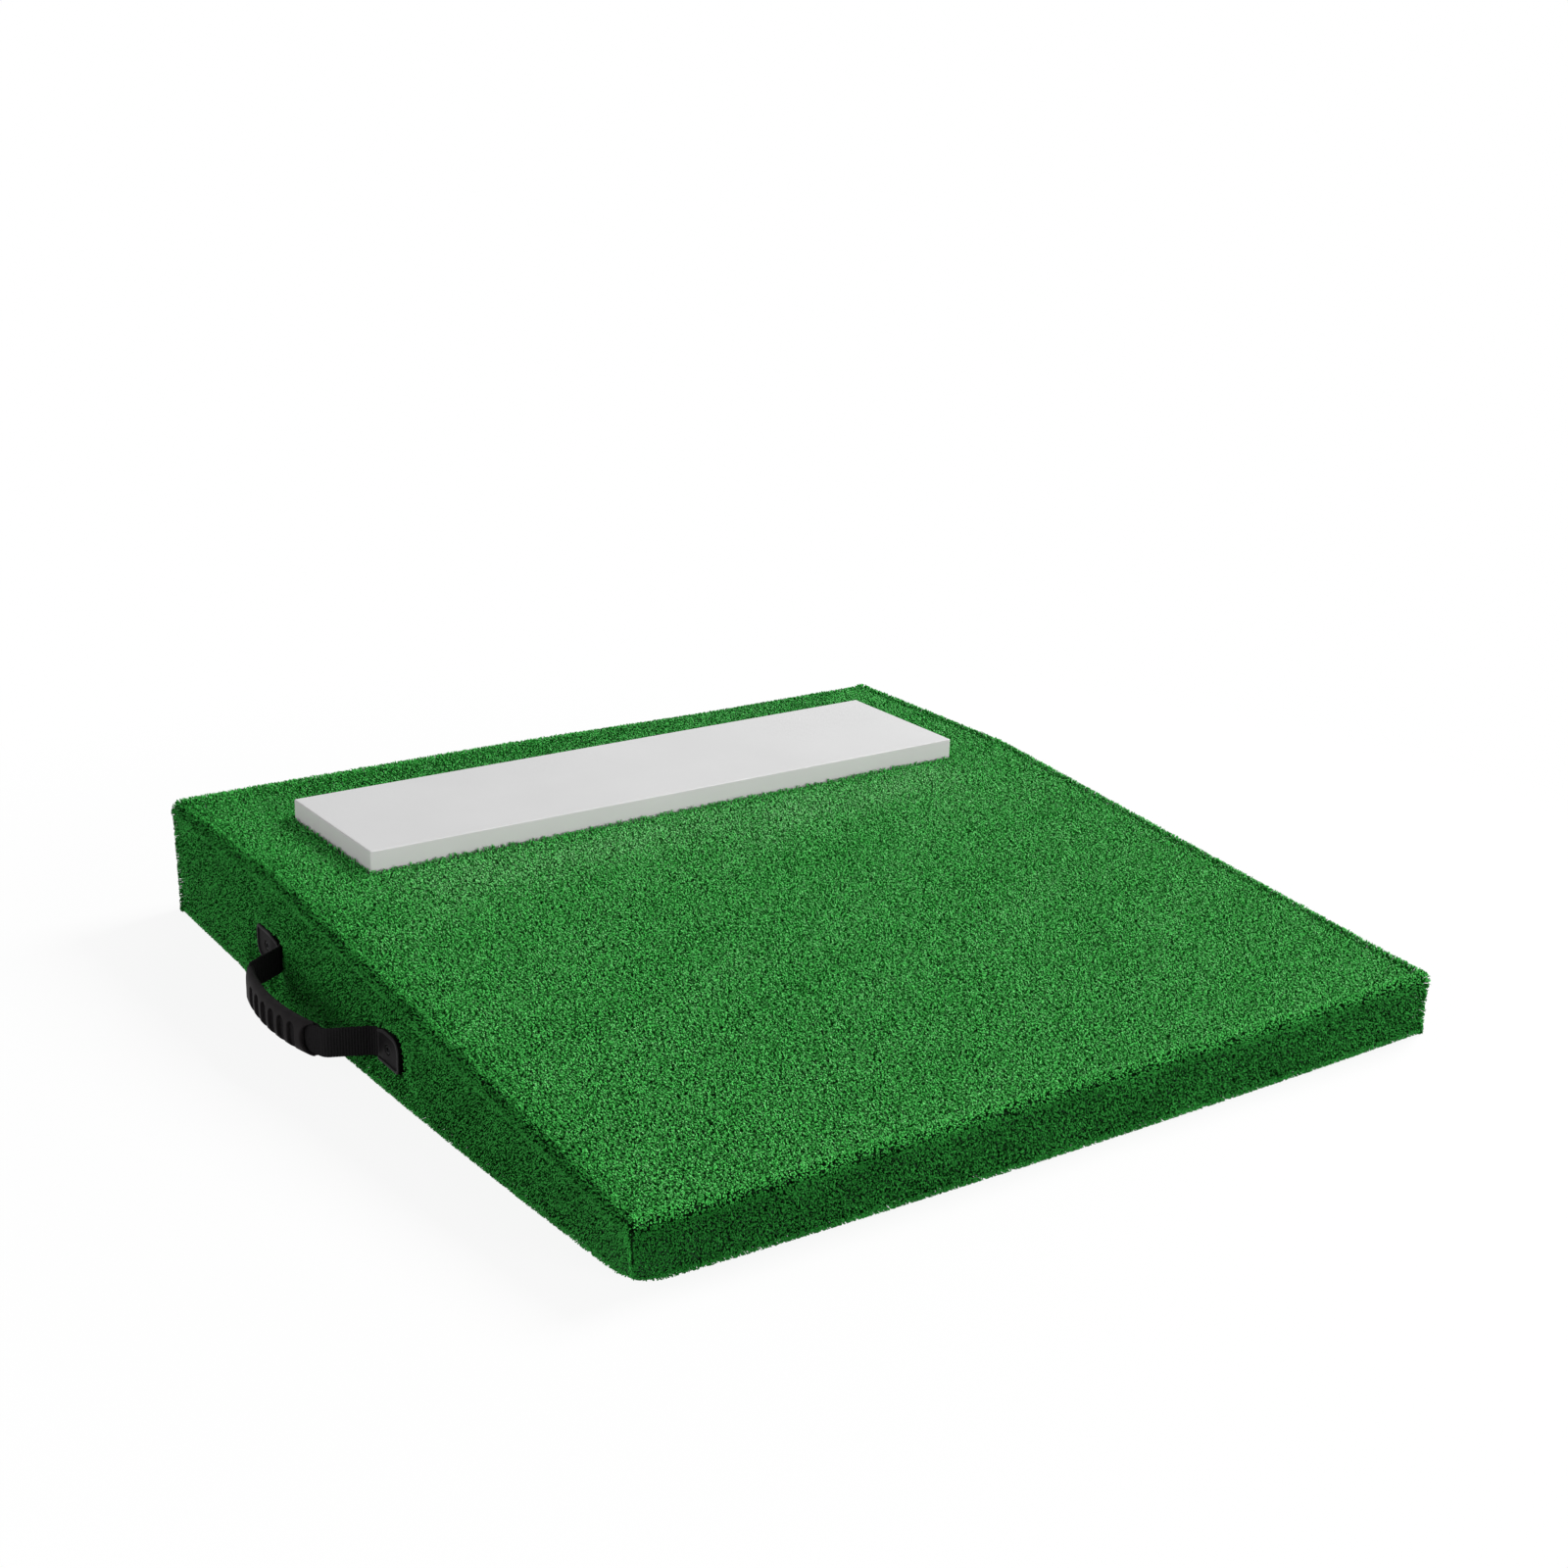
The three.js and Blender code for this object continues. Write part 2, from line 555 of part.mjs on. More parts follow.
// The places of every screw that holds the timber, as the name, length and place of each
const screwPlaces = [];
function addScrew(name, length, x, y, z, turnY) {
  screwPlaces.push({ name, length, place: placed(x, y, z, turnY) });
}
const sides = [['left', -1], ['right', 1]];
for (const [side, sign] of sides) {
  const rows = {
    plateau_rear: CORE_HALF_LENGTH - DECK_SCREW_SETBACK,
    plateau_front: BREAK_Y + DECK_SCREW_SETBACK,
    slope_rear: BREAK_Y - DECK_SCREW_SETBACK,
    slope_front: DECK_SCREW_SETBACK - CORE_HALF_LENGTH,
  };
  for (const [row, y] of Object.entries(rows)) {
    const z = deckTop(y) - SCREW_SINK;
    addScrew(`deck_screw_${side}_${row}`, DECK_SCREW_LENGTH, sign * SIDE_RAIL_X, y, z, 0);
  }
  const middles = {
    plateau_middle: (BREAK_Y + CORE_HALF_LENGTH) / 2,
    slope_middle: (BREAK_Y - CORE_HALF_LENGTH) / 2,
  };
  for (const [row, y] of Object.entries(middles)) {
    const z = deckTop(y) - SCREW_SINK;
    addScrew(`deck_screw_${side}_${row}`, DECK_SCREW_LENGTH, sign * STRINGER_X, y, z, 0);
  }
  for (const [row, along] of [['rear', 1], ['front', -1]]) {
    const baseY = along * (CORE_HALF_LENGTH - BASE_SCREW_SETBACK);
    const baseZ = BOARD_BOTTOM + SCREW_SINK;
    addScrew(`base_screw_${side}_${row}`, BASE_SCREW_LENGTH, sign * SIDE_RAIL_X, baseY, baseZ, Math.PI);
    const y = along * (CORE_HALF_LENGTH - RAIL_THICKNESS / 2);
    const z = (RAIL_BOTTOM + railTop(y)) / 2;
    const x = sign * (CORE_HALF_WIDTH - FRAME_SCREW_SINK);
    addScrew(`frame_screw_${side}_${row}`, FRAME_SCREW_LENGTH, x, y, z, (sign * Math.PI) / 2);
  }
}

// The places of the bolts under the rubber
const outerBolt = RUBBER_LENGTH / 2 - RUBBER_BOLT_END_DISTANCE;
const boltPlaces = [-outerBolt, -STRINGER_X / 2, STRINGER_X / 2, outerBolt];
const BOLT_SEAT = deckUnderside(RUBBER_Y) - FIT;
const BOLT_HEAD_TOP = BOLT_SEAT - WASHER_THICKNESS - FIT;
const INSERT_TOP = RUBBER_BOTTOM + FIT + INSERT_LENGTH;
const BOLT_TOP = INSERT_TOP - INSERT_FLOOR - FIT;

// A hexagon bolt standing on its head
function rubberBolt() {
  const radius = RUBBER_BOLT_DIAMETER / 2;
  const corner = BOLT_HEAD_WIDTH / 2 / Math.cos(Math.PI / HEXAGON_SIDES);
  const head = new THREE.CylinderGeometry(corner, corner, BOLT_HEAD_HEIGHT, HEXAGON_SIDES);
  head.rotateX(Math.PI / 2).translate(0, 0, BOLT_HEAD_TOP - BOLT_HEAD_HEIGHT / 2);
  const foot = BOLT_HEAD_TOP - BOLT_HEAD_HEIGHT / 2;
  const shank = turned([[0, foot], [radius, foot], [radius, BOLT_TOP], [0, BOLT_TOP]], ROUND_STEPS);
  return solid(head).add(shank);
}

function washer() {
  const bore = RUBBER_BOLT_DIAMETER / 2 + FIT;
  const rim = WASHER_DIAMETER / 2;
  const low = BOLT_SEAT - WASHER_THICKNESS;
  const profile = [[bore, low], [rim, low], [rim, BOLT_SEAT], [bore, BOLT_SEAT], [bore, low]];
  return turned(profile, ROUND_STEPS);
}

// A closed-end threaded socket moulded into the underside of the rubber
function rubberInsert() {
  const bore = RUBBER_BOLT_DIAMETER / 2 + FIT;
  const outer = INSERT_DIAMETER / 2;
  const low = RUBBER_BOTTOM + FIT;
  const ceiling = INSERT_TOP - INSERT_FLOOR;
  const profile = [
    [0, ceiling], [bore, ceiling], [bore, low],
    [outer, low], [outer, INSERT_TOP], [0, INSERT_TOP],
  ];
  return turned(profile, ROUND_STEPS);
}

function roundHole(radius, fromZ, toZ) {
  return turned([[0, fromZ], [radius, fromZ], [radius, toZ], [0, toZ]], ROUND_STEPS);
}

const moved = (body, x, y, z) => body.translate([x, y, z]);

// Every hole that the screws and bolts need, cut from a piece of the body
function drilled(body) {
  let result = body;
  for (const { length, place } of screwPlaces) {
    result = result.subtract(woodScrew(length, FIT).transform(place.elements));
  }
  return result;
}

function inPlace(geometry) {
  return solid(geometry.applyMatrix4(handle.matrix));
}

const ends = ['front', 'rear'];

function turfCover() {
  let cover = wedge(0, HEM_BOTTOM, BOTTOM_EDGE_RADIUS)
    .subtract(wedge(TURF, HEM_TOP, 0))
    .subtract(prism(planShape(TURF + HEM_WIDTH), HEM_BOTTOM - CUT_OVERRUN, HEM_TOP + CUT_OVERRUN));
  const window = roundedRectangle(
    RUBBER_LENGTH + 2 * FIT,
    RUBBER_WIDTH + 2 * FIT,
    RUBBER_CORNER_RADIUS + FIT,
  );
  const windowCut = prism(window, RUBBER_BOTTOM - CUT_OVERRUN, REAR_HEIGHT + CUT_OVERRUN);
  cover = cover.subtract(moved(windowCut, 0, RUBBER_Y, 0));
  cover = cover.subtract(inPlace(geometryOf(strapBand(FIT))));
  for (const end of ends) {
    const bed = sidePad(capOutline(FIT), CUT_OVERRUN, -CAP_BED_DEPTH, 0);
    cover = cover.subtract(inPlace(atEnd(bed, end)));
    cover = cover.subtract(inPlace(atEnd(handleScrew(FIT), end)));
  }
  return cover;
}

function pitchingRubber() {
  const shape = roundedRectangle(RUBBER_LENGTH, RUBBER_WIDTH, RUBBER_CORNER_RADIUS);
  const geometry = new THREE.ExtrudeGeometry(shape, {
    depth: RUBBER_THICKNESS - 2 * RUBBER_EDGE_RADIUS,
    bevelThickness: RUBBER_EDGE_RADIUS,
    bevelSize: RUBBER_EDGE_RADIUS,
    bevelOffset: -RUBBER_EDGE_RADIUS,
    bevelSegments: BEVEL_STEPS,
    curveSegments: BEVEL_STEPS,
  });
  geometry.translate(0, RUBBER_Y, RUBBER_BOTTOM + RUBBER_EDGE_RADIUS);
  let rubber = solid(geometry);
  for (const x of boltPlaces) {
    const socket = roundHole(INSERT_DIAMETER / 2 + FIT, RUBBER_BOTTOM - CUT_OVERRUN, INSERT_TOP + FIT);
    rubber = rubber.subtract(moved(socket, x, RUBBER_Y, 0));
  }
  return rubber;
}

function deckPanel(fromY, toY) {
  const beyond = REAR_HEIGHT + CUT_OVERRUN;
  const slab = [[fromY, deckUnderside(fromY)], [toY, deckUnderside(toY)], [toY, beyond], [fromY, beyond]];
  let panel = wedge(CORE_INSET, BOARD_BOTTOM, 0).intersect(sidePrism(slab, -MAT_WIDTH, MAT_WIDTH));
  for (const x of boltPlaces) {
    const hole = roundHole(RUBBER_BOLT_DIAMETER / 2 + FIT, BOLT_SEAT - CUT_OVERRUN, RUBBER_BOTTOM);
    panel = panel.subtract(moved(hole, x, RUBBER_Y, 0));
  }
  return drilled(panel);
}

function sideRail(sign) {
  const inner = CORE_HALF_WIDTH - RAIL_THICKNESS;
  const fromX = sign > 0 ? inner : -MAT_WIDTH / 2;
  const toX = sign > 0 ? MAT_WIDTH / 2 : -inner;
  let rail = plank(fromX, toX, -CORE_HALF_LENGTH, CORE_HALF_LENGTH);
  rail = rail.intersect(wedge(CORE_INSET, BOARD_BOTTOM, 0));
  if (sign < 0) {
    for (const end of ends) {
      rail = rail.subtract(inPlace(atEnd(handleScrew(FIT), end)));
      rail = rail.subtract(inPlace(atEnd(teeNutHole(), end)));
    }
  }
  return drilled(rail);
}

// Where a stringer and the cross rail meet, each loses half of its height
const LAP_Z = (RAIL_BOTTOM + railTop(BREAK_Y)) / 2;
const LAP_HALF = RAIL_THICKNESS / 2 + FIT;

function stringer(sign) {
  const x = sign * STRINGER_X;
  const half = RAIL_THICKNESS / 2;
  const body = plank(x - half, x + half, -INNER_HALF_LENGTH, INNER_HALF_LENGTH);
  const fromY = BREAK_Y - LAP_HALF;
  const toY = BREAK_Y + LAP_HALF;
  const lap = box(x - RAIL_THICKNESS, x + RAIL_THICKNESS, fromY, toY, LAP_Z, REAR_HEIGHT);
  return drilled(body.subtract(lap));
}

function crossRail() {
  const half = RAIL_THICKNESS / 2;
  let body = plank(-INNER_HALF_WIDTH, INNER_HALF_WIDTH, BREAK_Y - half, BREAK_Y + half);
  for (const sign of [-1, 1]) {
    const x = sign * STRINGER_X;
    const fromY = BREAK_Y - RAIL_THICKNESS;
    const toY = BREAK_Y + RAIL_THICKNESS;
    const lap = box(x - LAP_HALF, x + LAP_HALF, fromY, toY, 0, LAP_Z + FIT);
    body = body.subtract(lap);
  }
  return drilled(body);
}

function endRail(fromY, toY) {
  return drilled(plank(-INNER_HALF_WIDTH, INNER_HALF_WIDTH, fromY, toY));
}

function baseBoard() {
  const outline = roundedRectangle(2 * CORE_HALF_WIDTH, 2 * CORE_HALF_LENGTH, BASE_BOARD_CORNER_RADIUS);
  return drilled(prism(outline, BOARD_BOTTOM, BOARD_TOP));
}

function baseMat() {
  return prism(planShape(TURF + HEM_WIDTH + BASE_MAT_MARGIN), 0, BASE_MAT_THICKNESS);
}

// Finishes
const finish = (color, roughness, metalness) => () =>
  new THREE.MeshStandardMaterial({ color, roughness, metalness });
const turf = finish(0x1f7a33, 0.8, 0);
const paleRubber = finish(0xd6d6d4, 0.7, 0);
const blackRubber = finish(0x1b1b1d, 0.7, 0);
const blackWebbing = finish(0x121214, 0.85, 0);
const charcoalRubber = finish(0x2c2b2e, 0.6, 0);
const plywood = finish(0xc9a26b, 0.7, 0);
const zincSteel = finish(0xb8bcc0, 0.35, 1);
const blackSteel = finish(0x1a1a1c, 0.45, 1);
const brass = finish(0xb8963e, 0.35, 1);

const mound = new THREE.Group();
function add(group, name, geometry, material) {
  const mesh = new THREE.Mesh(geometry, material());
  mesh.name = name;
  group.add(mesh);
}
const addBody = (name, body, material) => add(mound, name, geometryOf(body), material);

addBody('base_mat', baseMat(), blackRubber);
addBody('base_board', baseBoard(), plywood);
for (const [side, sign] of sides) {
  addBody(`side_rail_${side}`, sideRail(sign), plywood);
  addBody(`stringer_${side}`, stringer(sign), plywood);
}
addBody('rear_rail', endRail(CORE_HALF_LENGTH - RAIL_THICKNESS, CORE_HALF_LENGTH), plywood);
addBody('front_rail', endRail(-CORE_HALF_LENGTH, RAIL_THICKNESS - CORE_HALF_LENGTH), plywood);
addBody('cross_rail', crossRail(), plywood);
addBody('deck_plateau', deckPanel(BREAK_Y + FIT / 2, MAT_LENGTH / 2), plywood);
addBody('deck_slope', deckPanel(-MAT_LENGTH / 2, BREAK_Y - FIT / 2), plywood);
addBody('turf_cover', turfCover(), turf);
addBody('pitching_rubber', pitchingRubber(), paleRubber);

boltPlaces.forEach((x, index) => {
  const number = index + 1;
  addBody(`rubber_insert_${number}`, moved(rubberInsert(), x, RUBBER_Y, 0), brass);
  addBody(`rubber_bolt_${number}`, moved(rubberBolt(), x, RUBBER_Y, 0), zincSteel);
  addBody(`rubber_washer_${number}`, moved(washer(), x, RUBBER_Y, 0), zincSteel);
});

for (const { name, length, place } of screwPlaces) {
  addBody(name, woodScrew(length, 0).transform(place.elements), zincSteel);
}

for (const end of ends) {
  const screw = solid(atEnd(handleScrew(0), end));
  const nut = solid(atEnd(teeNut(), end));
  add(handle, `handle_end_cap_${end}`, geometryOf(endCap(end)), blackRubber);
  add(handle, `handle_screw_${end}`, geometryOf(screw), blackSteel);
  add(handle, `handle_tee_nut_${end}`, geometryOf(nut), zincSteel);
}
const strap = ends.reduce(
  (band, end) => band.subtract(solid(atEnd(handleScrew(FIT), end))),
  strapBand(0),
);
add(handle, 'handle_strap', geometryOf(strap), blackWebbing);
add(handle, 'handle_grip', geometryOf(gripSleeve()), charcoalRubber);

const mat = new THREE.Group();
mat.add(mound, handle);

export default mat;
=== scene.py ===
"""A portable pitching mound: turf with a real cut pile, a pale pitching rubber and a webbing handle.

Metres, +Z up, in the frame of the solids: the origin is on the floor under the middle of the mat,
+Y is the high rear end and the handle is on the -X side.
"""
import json

import bpy
import numpy as np
from mathutils import Matrix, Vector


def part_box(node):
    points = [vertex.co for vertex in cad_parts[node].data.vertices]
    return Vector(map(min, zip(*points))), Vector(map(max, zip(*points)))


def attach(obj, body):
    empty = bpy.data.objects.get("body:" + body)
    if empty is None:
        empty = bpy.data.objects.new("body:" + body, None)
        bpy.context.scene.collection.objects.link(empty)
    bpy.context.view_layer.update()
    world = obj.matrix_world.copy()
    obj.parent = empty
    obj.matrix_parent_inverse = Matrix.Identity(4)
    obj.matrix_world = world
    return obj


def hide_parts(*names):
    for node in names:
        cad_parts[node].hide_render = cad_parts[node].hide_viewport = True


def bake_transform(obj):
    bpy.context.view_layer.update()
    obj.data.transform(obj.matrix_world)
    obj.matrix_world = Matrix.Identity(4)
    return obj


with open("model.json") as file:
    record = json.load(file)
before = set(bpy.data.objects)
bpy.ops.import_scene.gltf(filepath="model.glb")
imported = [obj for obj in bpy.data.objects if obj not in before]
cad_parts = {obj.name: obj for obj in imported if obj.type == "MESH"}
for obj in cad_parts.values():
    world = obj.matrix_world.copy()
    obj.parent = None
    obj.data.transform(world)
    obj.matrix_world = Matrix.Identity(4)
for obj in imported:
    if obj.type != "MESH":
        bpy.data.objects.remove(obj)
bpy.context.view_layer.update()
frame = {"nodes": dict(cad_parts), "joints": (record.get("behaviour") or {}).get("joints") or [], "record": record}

MM = 0.001

# Sizes of the mat, over the tips of the pile
turf_low, turf_high = (np.array(corner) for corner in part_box("turf_cover"))
HALF_WIDTH = turf_high[0]
HALF_LENGTH = turf_high[1]
REAR_HEIGHT = turf_high[2]
FRONT_HEIGHT = 50.8 * MM
PLATEAU_LENGTH = 235 * MM
CORNER_RADIUS = 9.5 * MM
TOP_EDGE_RADIUS = 9.5 * MM
BREAK_Y = HALF_LENGTH - PLATEAU_LENGTH
SLOPE = (REAR_HEIGHT - FRONT_HEIGHT) / (2 * HALF_LENGTH - PLATEAU_LENGTH)

# Turf: the backing and its hem under the base
BACKING_THICKNESS = 1.6 * MM
PILE_HEIGHT = 7.4 * MM
HEM_WIDTH = 40 * MM
HEM_BOTTOM = turf_low[2]
FOLD_RADIUS = 1.5 * MM
ROOT_EDGE_RADIUS = TOP_EDGE_RADIUS - PILE_HEIGHT

# Stitches and blades of the pile: jitter is a share of the pitch, and what is uneven one of the height
ROW_GAUGE = 1.8 * MM
STITCH_PITCH = 1.5 * MM
SIDE_PITCH = 1.75 * MM
ROLL_PITCH = 1.3 * MM
TUFT_JITTER = 0.24
TUFT_UNEVENNESS = 0.03
TUFT_EXTREMES = (-2, 1.6)
TALLEST_TUFT = 1.12
TUFT_LEAN = 0.07
ROW_STEP = 0.03
BLADES_PER_TUFT = 2
BLADE_WIDTH = 0.95 * MM
BLADE_WIDTHS = (0.75, 1.2)
TIP_WIDTH = 0.84
BLADE_SPREAD = 0.35 * MM
BLADE_UNEVENNESS = 0.02
BLADE_LEAN = 0.1
CRIMP_LENGTH = 1.15 * MM
CRIMP_LEAN = 1.7
CRIMP_RISE = 0.65
SHORTEST_STALK = 0.5 * MM
TOP_LAY = np.array([-0.1, 0.08, 0])
SIDE_LAY = np.array([0, 0, -0.25])
LOWEST_ROOT = 1.8 * MM
LOWEST_TIP = 0.4 * MM
FRINGE_ROWS = 4
FRINGE_PITCH = 1.1 * MM
RUBBER_MARGIN = 0.6 * MM
CAP_MARGIN = 0.8 * MM
TOP_BANDS = 8

# Where the pile parts at a seam, stands fuller or is pressed down
SEAM_REACH = 3 * MM
SEAM_PARTING = 0.3
EDGE_FULLNESS = 0.2
REAR_SWELL = 4 * MM
REAR_SWELL_REACH = 16 * MM
REAR_SWELL_ENDS = np.array([180, -50]) * MM
RIGHT_SWELL_PLACES = np.array([-387, -330, 387]) * MM
RIGHT_SWELLS = np.array([4.6, 3.0, 2.3]) * MM
RIGHT_SWELL_FOOT = 0.5
LEFT_SWELL = 2.5 * MM
LEFT_SWELL_ENDS = np.array([200, 350]) * MM
CLUMP_HEIGHT = 3 * MM
CLUMP_REACH = 3.5 * MM
CLUMP_SIZE = 9 * MM
CLUMP_SHARE = 0.5
CLUMP_CONTRAST = 0.6
SHORTEST_PILE = 1.2 * MM
PRESSED_PILE = 4.2 * MM

# How far the sides leave the upright: the shift of the foot at the start, middle and end of each side,
# going round the mat from the front end of the right side by the rear and the left to the front
FOOT_SHIFTS = MM * np.array([[1, 2, -2], [-2, 2, 0], [-1.5, 4.5, -7.5], [-5.5, 4, 1]])
BULGE = 6.5 * MM
BULGE_PLACE = 175 * MM
BULGE_REACH = 42 * MM
PINNED_REACH = 30 * MM
PINNED_DROP = 14 * MM
PINNED_STRIP = -0.9 * HALF_WIDTH
TUCK_RADIUS = 25.6 * MM
TUCK_FULL_HEIGHT = 2.8 * MM
TUCK_HEIGHT = 9.1 * MM

# Tints of the yarn, from 0 for the darkest to 1 for the palest. Four numbers are for the right, rear,
# left and front side; places down the rolled edge are shares of its arc. The sides' darker tints are
# painted shade, and so are the dark band down the rolled edge, the front's darkening towards its left
# corner and the top's darkening along its left edge; the pale strip before the rubber is painted light.
SIDES = ["right", "rear", "left", "front"]
TOP_SHADE = 0.5
# painted shade: each side's tint, darker than the top's
SIDE_PAINTED_SHADES = np.array([0.42, 0.22, 0.22, 0.125])
SIDE_EVENNESS = np.array([0.5, 0.5, 0.75, 0.5])
TINT_SPREAD = 0.095
TOP_TUFT_TINT = 0.02
SIDE_TUFT_TINT = 0.03
CLOUD_TINT = 0.03
CLOUD_SIZE = 90 * MM
CLOUD_WAVES = 6
CLOUD_WAVE_SIZES = (0.7, 1.4)
EDGE_THINNING = np.array([0.2, 0.2, 0.3, 0.2])
# painted shade: how much darker each side's band down the rolled edge is painted; the same band also thins the
# pile
EDGE_PAINTED_SHADE = np.array([0.0, 0.1, 0.13, 0.06])
EDGE_PLACE = np.array([0.9, 0.9, 0.3, 0.6])
EDGE_BAND = 0.3
EDGE_TURN = 0.6
EDGE_CLOUD = 0.4
EDGE_CLOUD_SIZE = 40 * MM
# painted light: how much paler a strip before the rubber is painted, how far ahead of it it lies and how wide it
# is
PAINTED_LIGHT_TINT = 0.15
PAINTED_LIGHT_PLACE = 42 * MM
PAINTED_LIGHT_REACH = 45 * MM
# painted shade: how much darker the front is painted towards its left corner, and over what reach
CORNER_PAINTED_SHADE = 0.12
CORNER_REACH = 160 * MM
# painted shade: how much darker the top is painted along its left edge, and over what reach
LEFT_EDGE_PAINTED_SHADE = 0.12
LEFT_EDGE_PAINTED_SHADE_REACH = 12 * MM

# The yarn's map: its margins, and half the width of a blade in it
MAP_SIDE_MARGIN = 0.04
MAP_END_MARGIN = 0.02
MAP_BLADE = 0.015

# Pitching rubber
rubber_low, rubber_high = (np.array(corner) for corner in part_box("pitching_rubber"))
RUBBER_MIDDLE = (rubber_low + rubber_high) / 2
RUBBER_HALF = (rubber_high - rubber_low) / 2
RUBBER_CORNER_RADIUS = 1.6 * MM
RUBBER_EDGE_RADIUS = 1.0 * MM

# Handle, measured from the middle of the strap: along runs rearwards, out leaves the pile tips
HANDLE_MIDDLE = np.array(frame["joints"][0]["pos_m"])
STRAP_WIDTH = 24 * MM
STRAP_THICKNESS = 2.6 * MM
STRAP_STANDOFF = 46.5 * MM
STRAP_ROOT_HALF_SPAN = 95.3 * MM
STRAP_LIE = -1.6 * MM
STRAP_END = 125.5 * MM
CROWN_RADIUS = 210 * MM
CROWN_HALF_SPAN = 66.5 * MM
SHOULDER_RADIUS = 10 * MM
ROOT_RADIUS = 12 * MM
STRAP_DROOP = 1.6 * MM
HANDLE_SAG = 0.7 * MM
HANDLE_TILT = 0.0185
RIB_PITCH = 2.2 * MM
RIB_DEPTH = 0.45 * MM
GRIP_LENGTH = 127 * MM
GRIP_WIDTH = 27.2 * MM
GRIP_OUTER_FACE = 5.6 * MM
GRIP_INNER_FACE = 3.4 * MM
GRIP_SQUARENESS = 3
GRIP_UPPER_END_RADIUS = 4 * MM
GRIP_LOWER_END_RADIUS = 3 * MM
GRIP_LIP_RADIUS = 1.5 * MM
GRIP_CHANNEL_GAP = 0.3 * MM
GRIP_CHANNEL_SQUARENESS = 8
GRIP_MOUTH_RADIUS = 13.5 * MM
GRIP_MOUTH_DEPTH = 13.5 * MM
GRIP_SLOT_COUNT = 6
GRIP_SLOT_PITCH = 14.1 * MM
GRIP_SLOTS_MIDDLE = -3.5 * MM
GRIP_SLOT_LENGTH = 22 * MM
GRIP_SLOT_WIDTH = 9.2 * MM
GRIP_SLOT_DEPTH = 3 * MM
GRIP_SLOT_FLOOR = 2 * MM
GRIP_SLOT_DROP = 2.6 * MM
GRIP_SLOT_WALL = 0.5 * MM
CAP_MIDDLE = 111.7 * MM
CAP_HALF_LENGTH = 19.2 * MM
CAP_HALF_HEIGHT = 14 * MM
CAP_LIFT = 2.8 * MM
CAP_ROUND_CORNER = 11 * MM
CAP_SQUARE_CORNER = 5 * MM
CAP_MOUTH_RADIUS = 2 * MM
CAP_MOUTH_NARROWING = 0.1
CAP_RISE = 3 * MM
CAP_BED = -2.9 * MM
CAP_FACE = 2.1 * MM
CAP_LIP = 0.9 * MM
CAP_LIP_SLOPE = 11 * MM
CAP_RIM_WIDTH = 2.6 * MM
CAP_RIM_SLANT = 0.5 * MM
CAP_EDGE_RADIUS = 0.9 * MM
CAP_HOLE_RADIUS = 4.05 * MM
CAP_STRAP_ROOF = 0.3 * MM
CAP_NARROWING_REACH = 14.3 * MM
CAP_MOUTH_WALL = 1 * MM
CAP_SMALLEST_RADIUS = 0.3 * MM
SCREW_HEAD_RADIUS = 3.75 * MM
SCREW_SHANK_RADIUS = 2 * MM
SCREW_SOCKET_WIDTH = 4 * MM
SCREW_SEAT = 0.9 * MM
SCREW_SOCKET_BEVEL = 0.1 * MM
# Radius and height of the rings of the screw's head, as shares of its own
SCREW_DOME = [(1, 0), (1, 0.4), (0.94, 0.68), (0.8, 0.9)]

# Fineness of the meshes
BACKING_STEP = 5 * MM
BACKING_CORNER_STEPS = 10
HEM_ROWS = 5
FOLD_ROWS = 5
ROLL_ROWS = 6
WINDOW_ROWS = 30
RUBBER_STEP = 12 * MM
RUBBER_CORNER_STEPS = 8
STRAP_ROWS = 1800
STRAP_EDGE_STEPS = 7
STRAP_FACE_STEPS = 9
STRAP_LINE_FINENESS = 40
GRIP_SECTION_SAMPLES = 20001
GRIP_STEP = 0.45 * MM
GRIP_ROWS = 281
GRIP_INNER_ROWS_APART = 10
CAP_STEP = 0.9 * MM
CAP_CORNER_STEPS = 12
SCREW_SIDES = 48
SMALLEST_RADIUS = 0.5 * MM

# Camera: where it stands, which way it looks, and its focal length for a frame of 1600 pixels
CAMERA_PLACE = np.array([-1.0594, -1.4850, 0.7834])
CAMERA_YAW = np.radians(35.64)
CAMERA_PITCH = np.radians(18.67)
CAMERA_ROLL = np.radians(-1.73)
FOCAL_PIXELS = 2351.6
FRAME_PIXELS = 1600
SENSOR_WIDTH = 36

# Floor: its half width, and the way from the middle over which its own glow rises to full
FLOOR_HALF_WIDTH = 8.0
GLOW_START = 0.5
GLOW_END = 1.0
NEAR_GLOW = 0.9

rng = np.random.default_rng(7)


# Meshes

def make_piece(name, points, faces, material, smooth=True):
    """A mesh object from an array of points and a list of face arrays, each of one corner count.
    Faces of more than four corners are flat ends, and are shaded flat."""
    mesh = bpy.data.meshes.new(name)
    mesh.vertices.add(len(points))
    mesh.vertices.foreach_set("co", np.asarray(points, np.float32).ravel())
    corners = np.concatenate([np.asarray(group).ravel() for group in faces])
    counts = np.concatenate([np.full(len(group), np.shape(group)[1]) for group in faces])
    starts = np.concatenate([[0], np.cumsum(counts)[:-1]])
    mesh.loops.add(len(corners))
    mesh.loops.foreach_set("vertex_index", corners.astype(np.int32))
    mesh.polygons.add(len(counts))
    mesh.polygons.foreach_set("loop_start", starts.astype(np.int32))
    mesh.polygons.foreach_set("use_smooth", smooth & (counts <= 4))
    mesh.update(calc_edges=True)
    mesh.materials.append(material)
    piece = bpy.data.objects.new(name, mesh)
    bpy.context.scene.collection.objects.link(piece)
    return piece


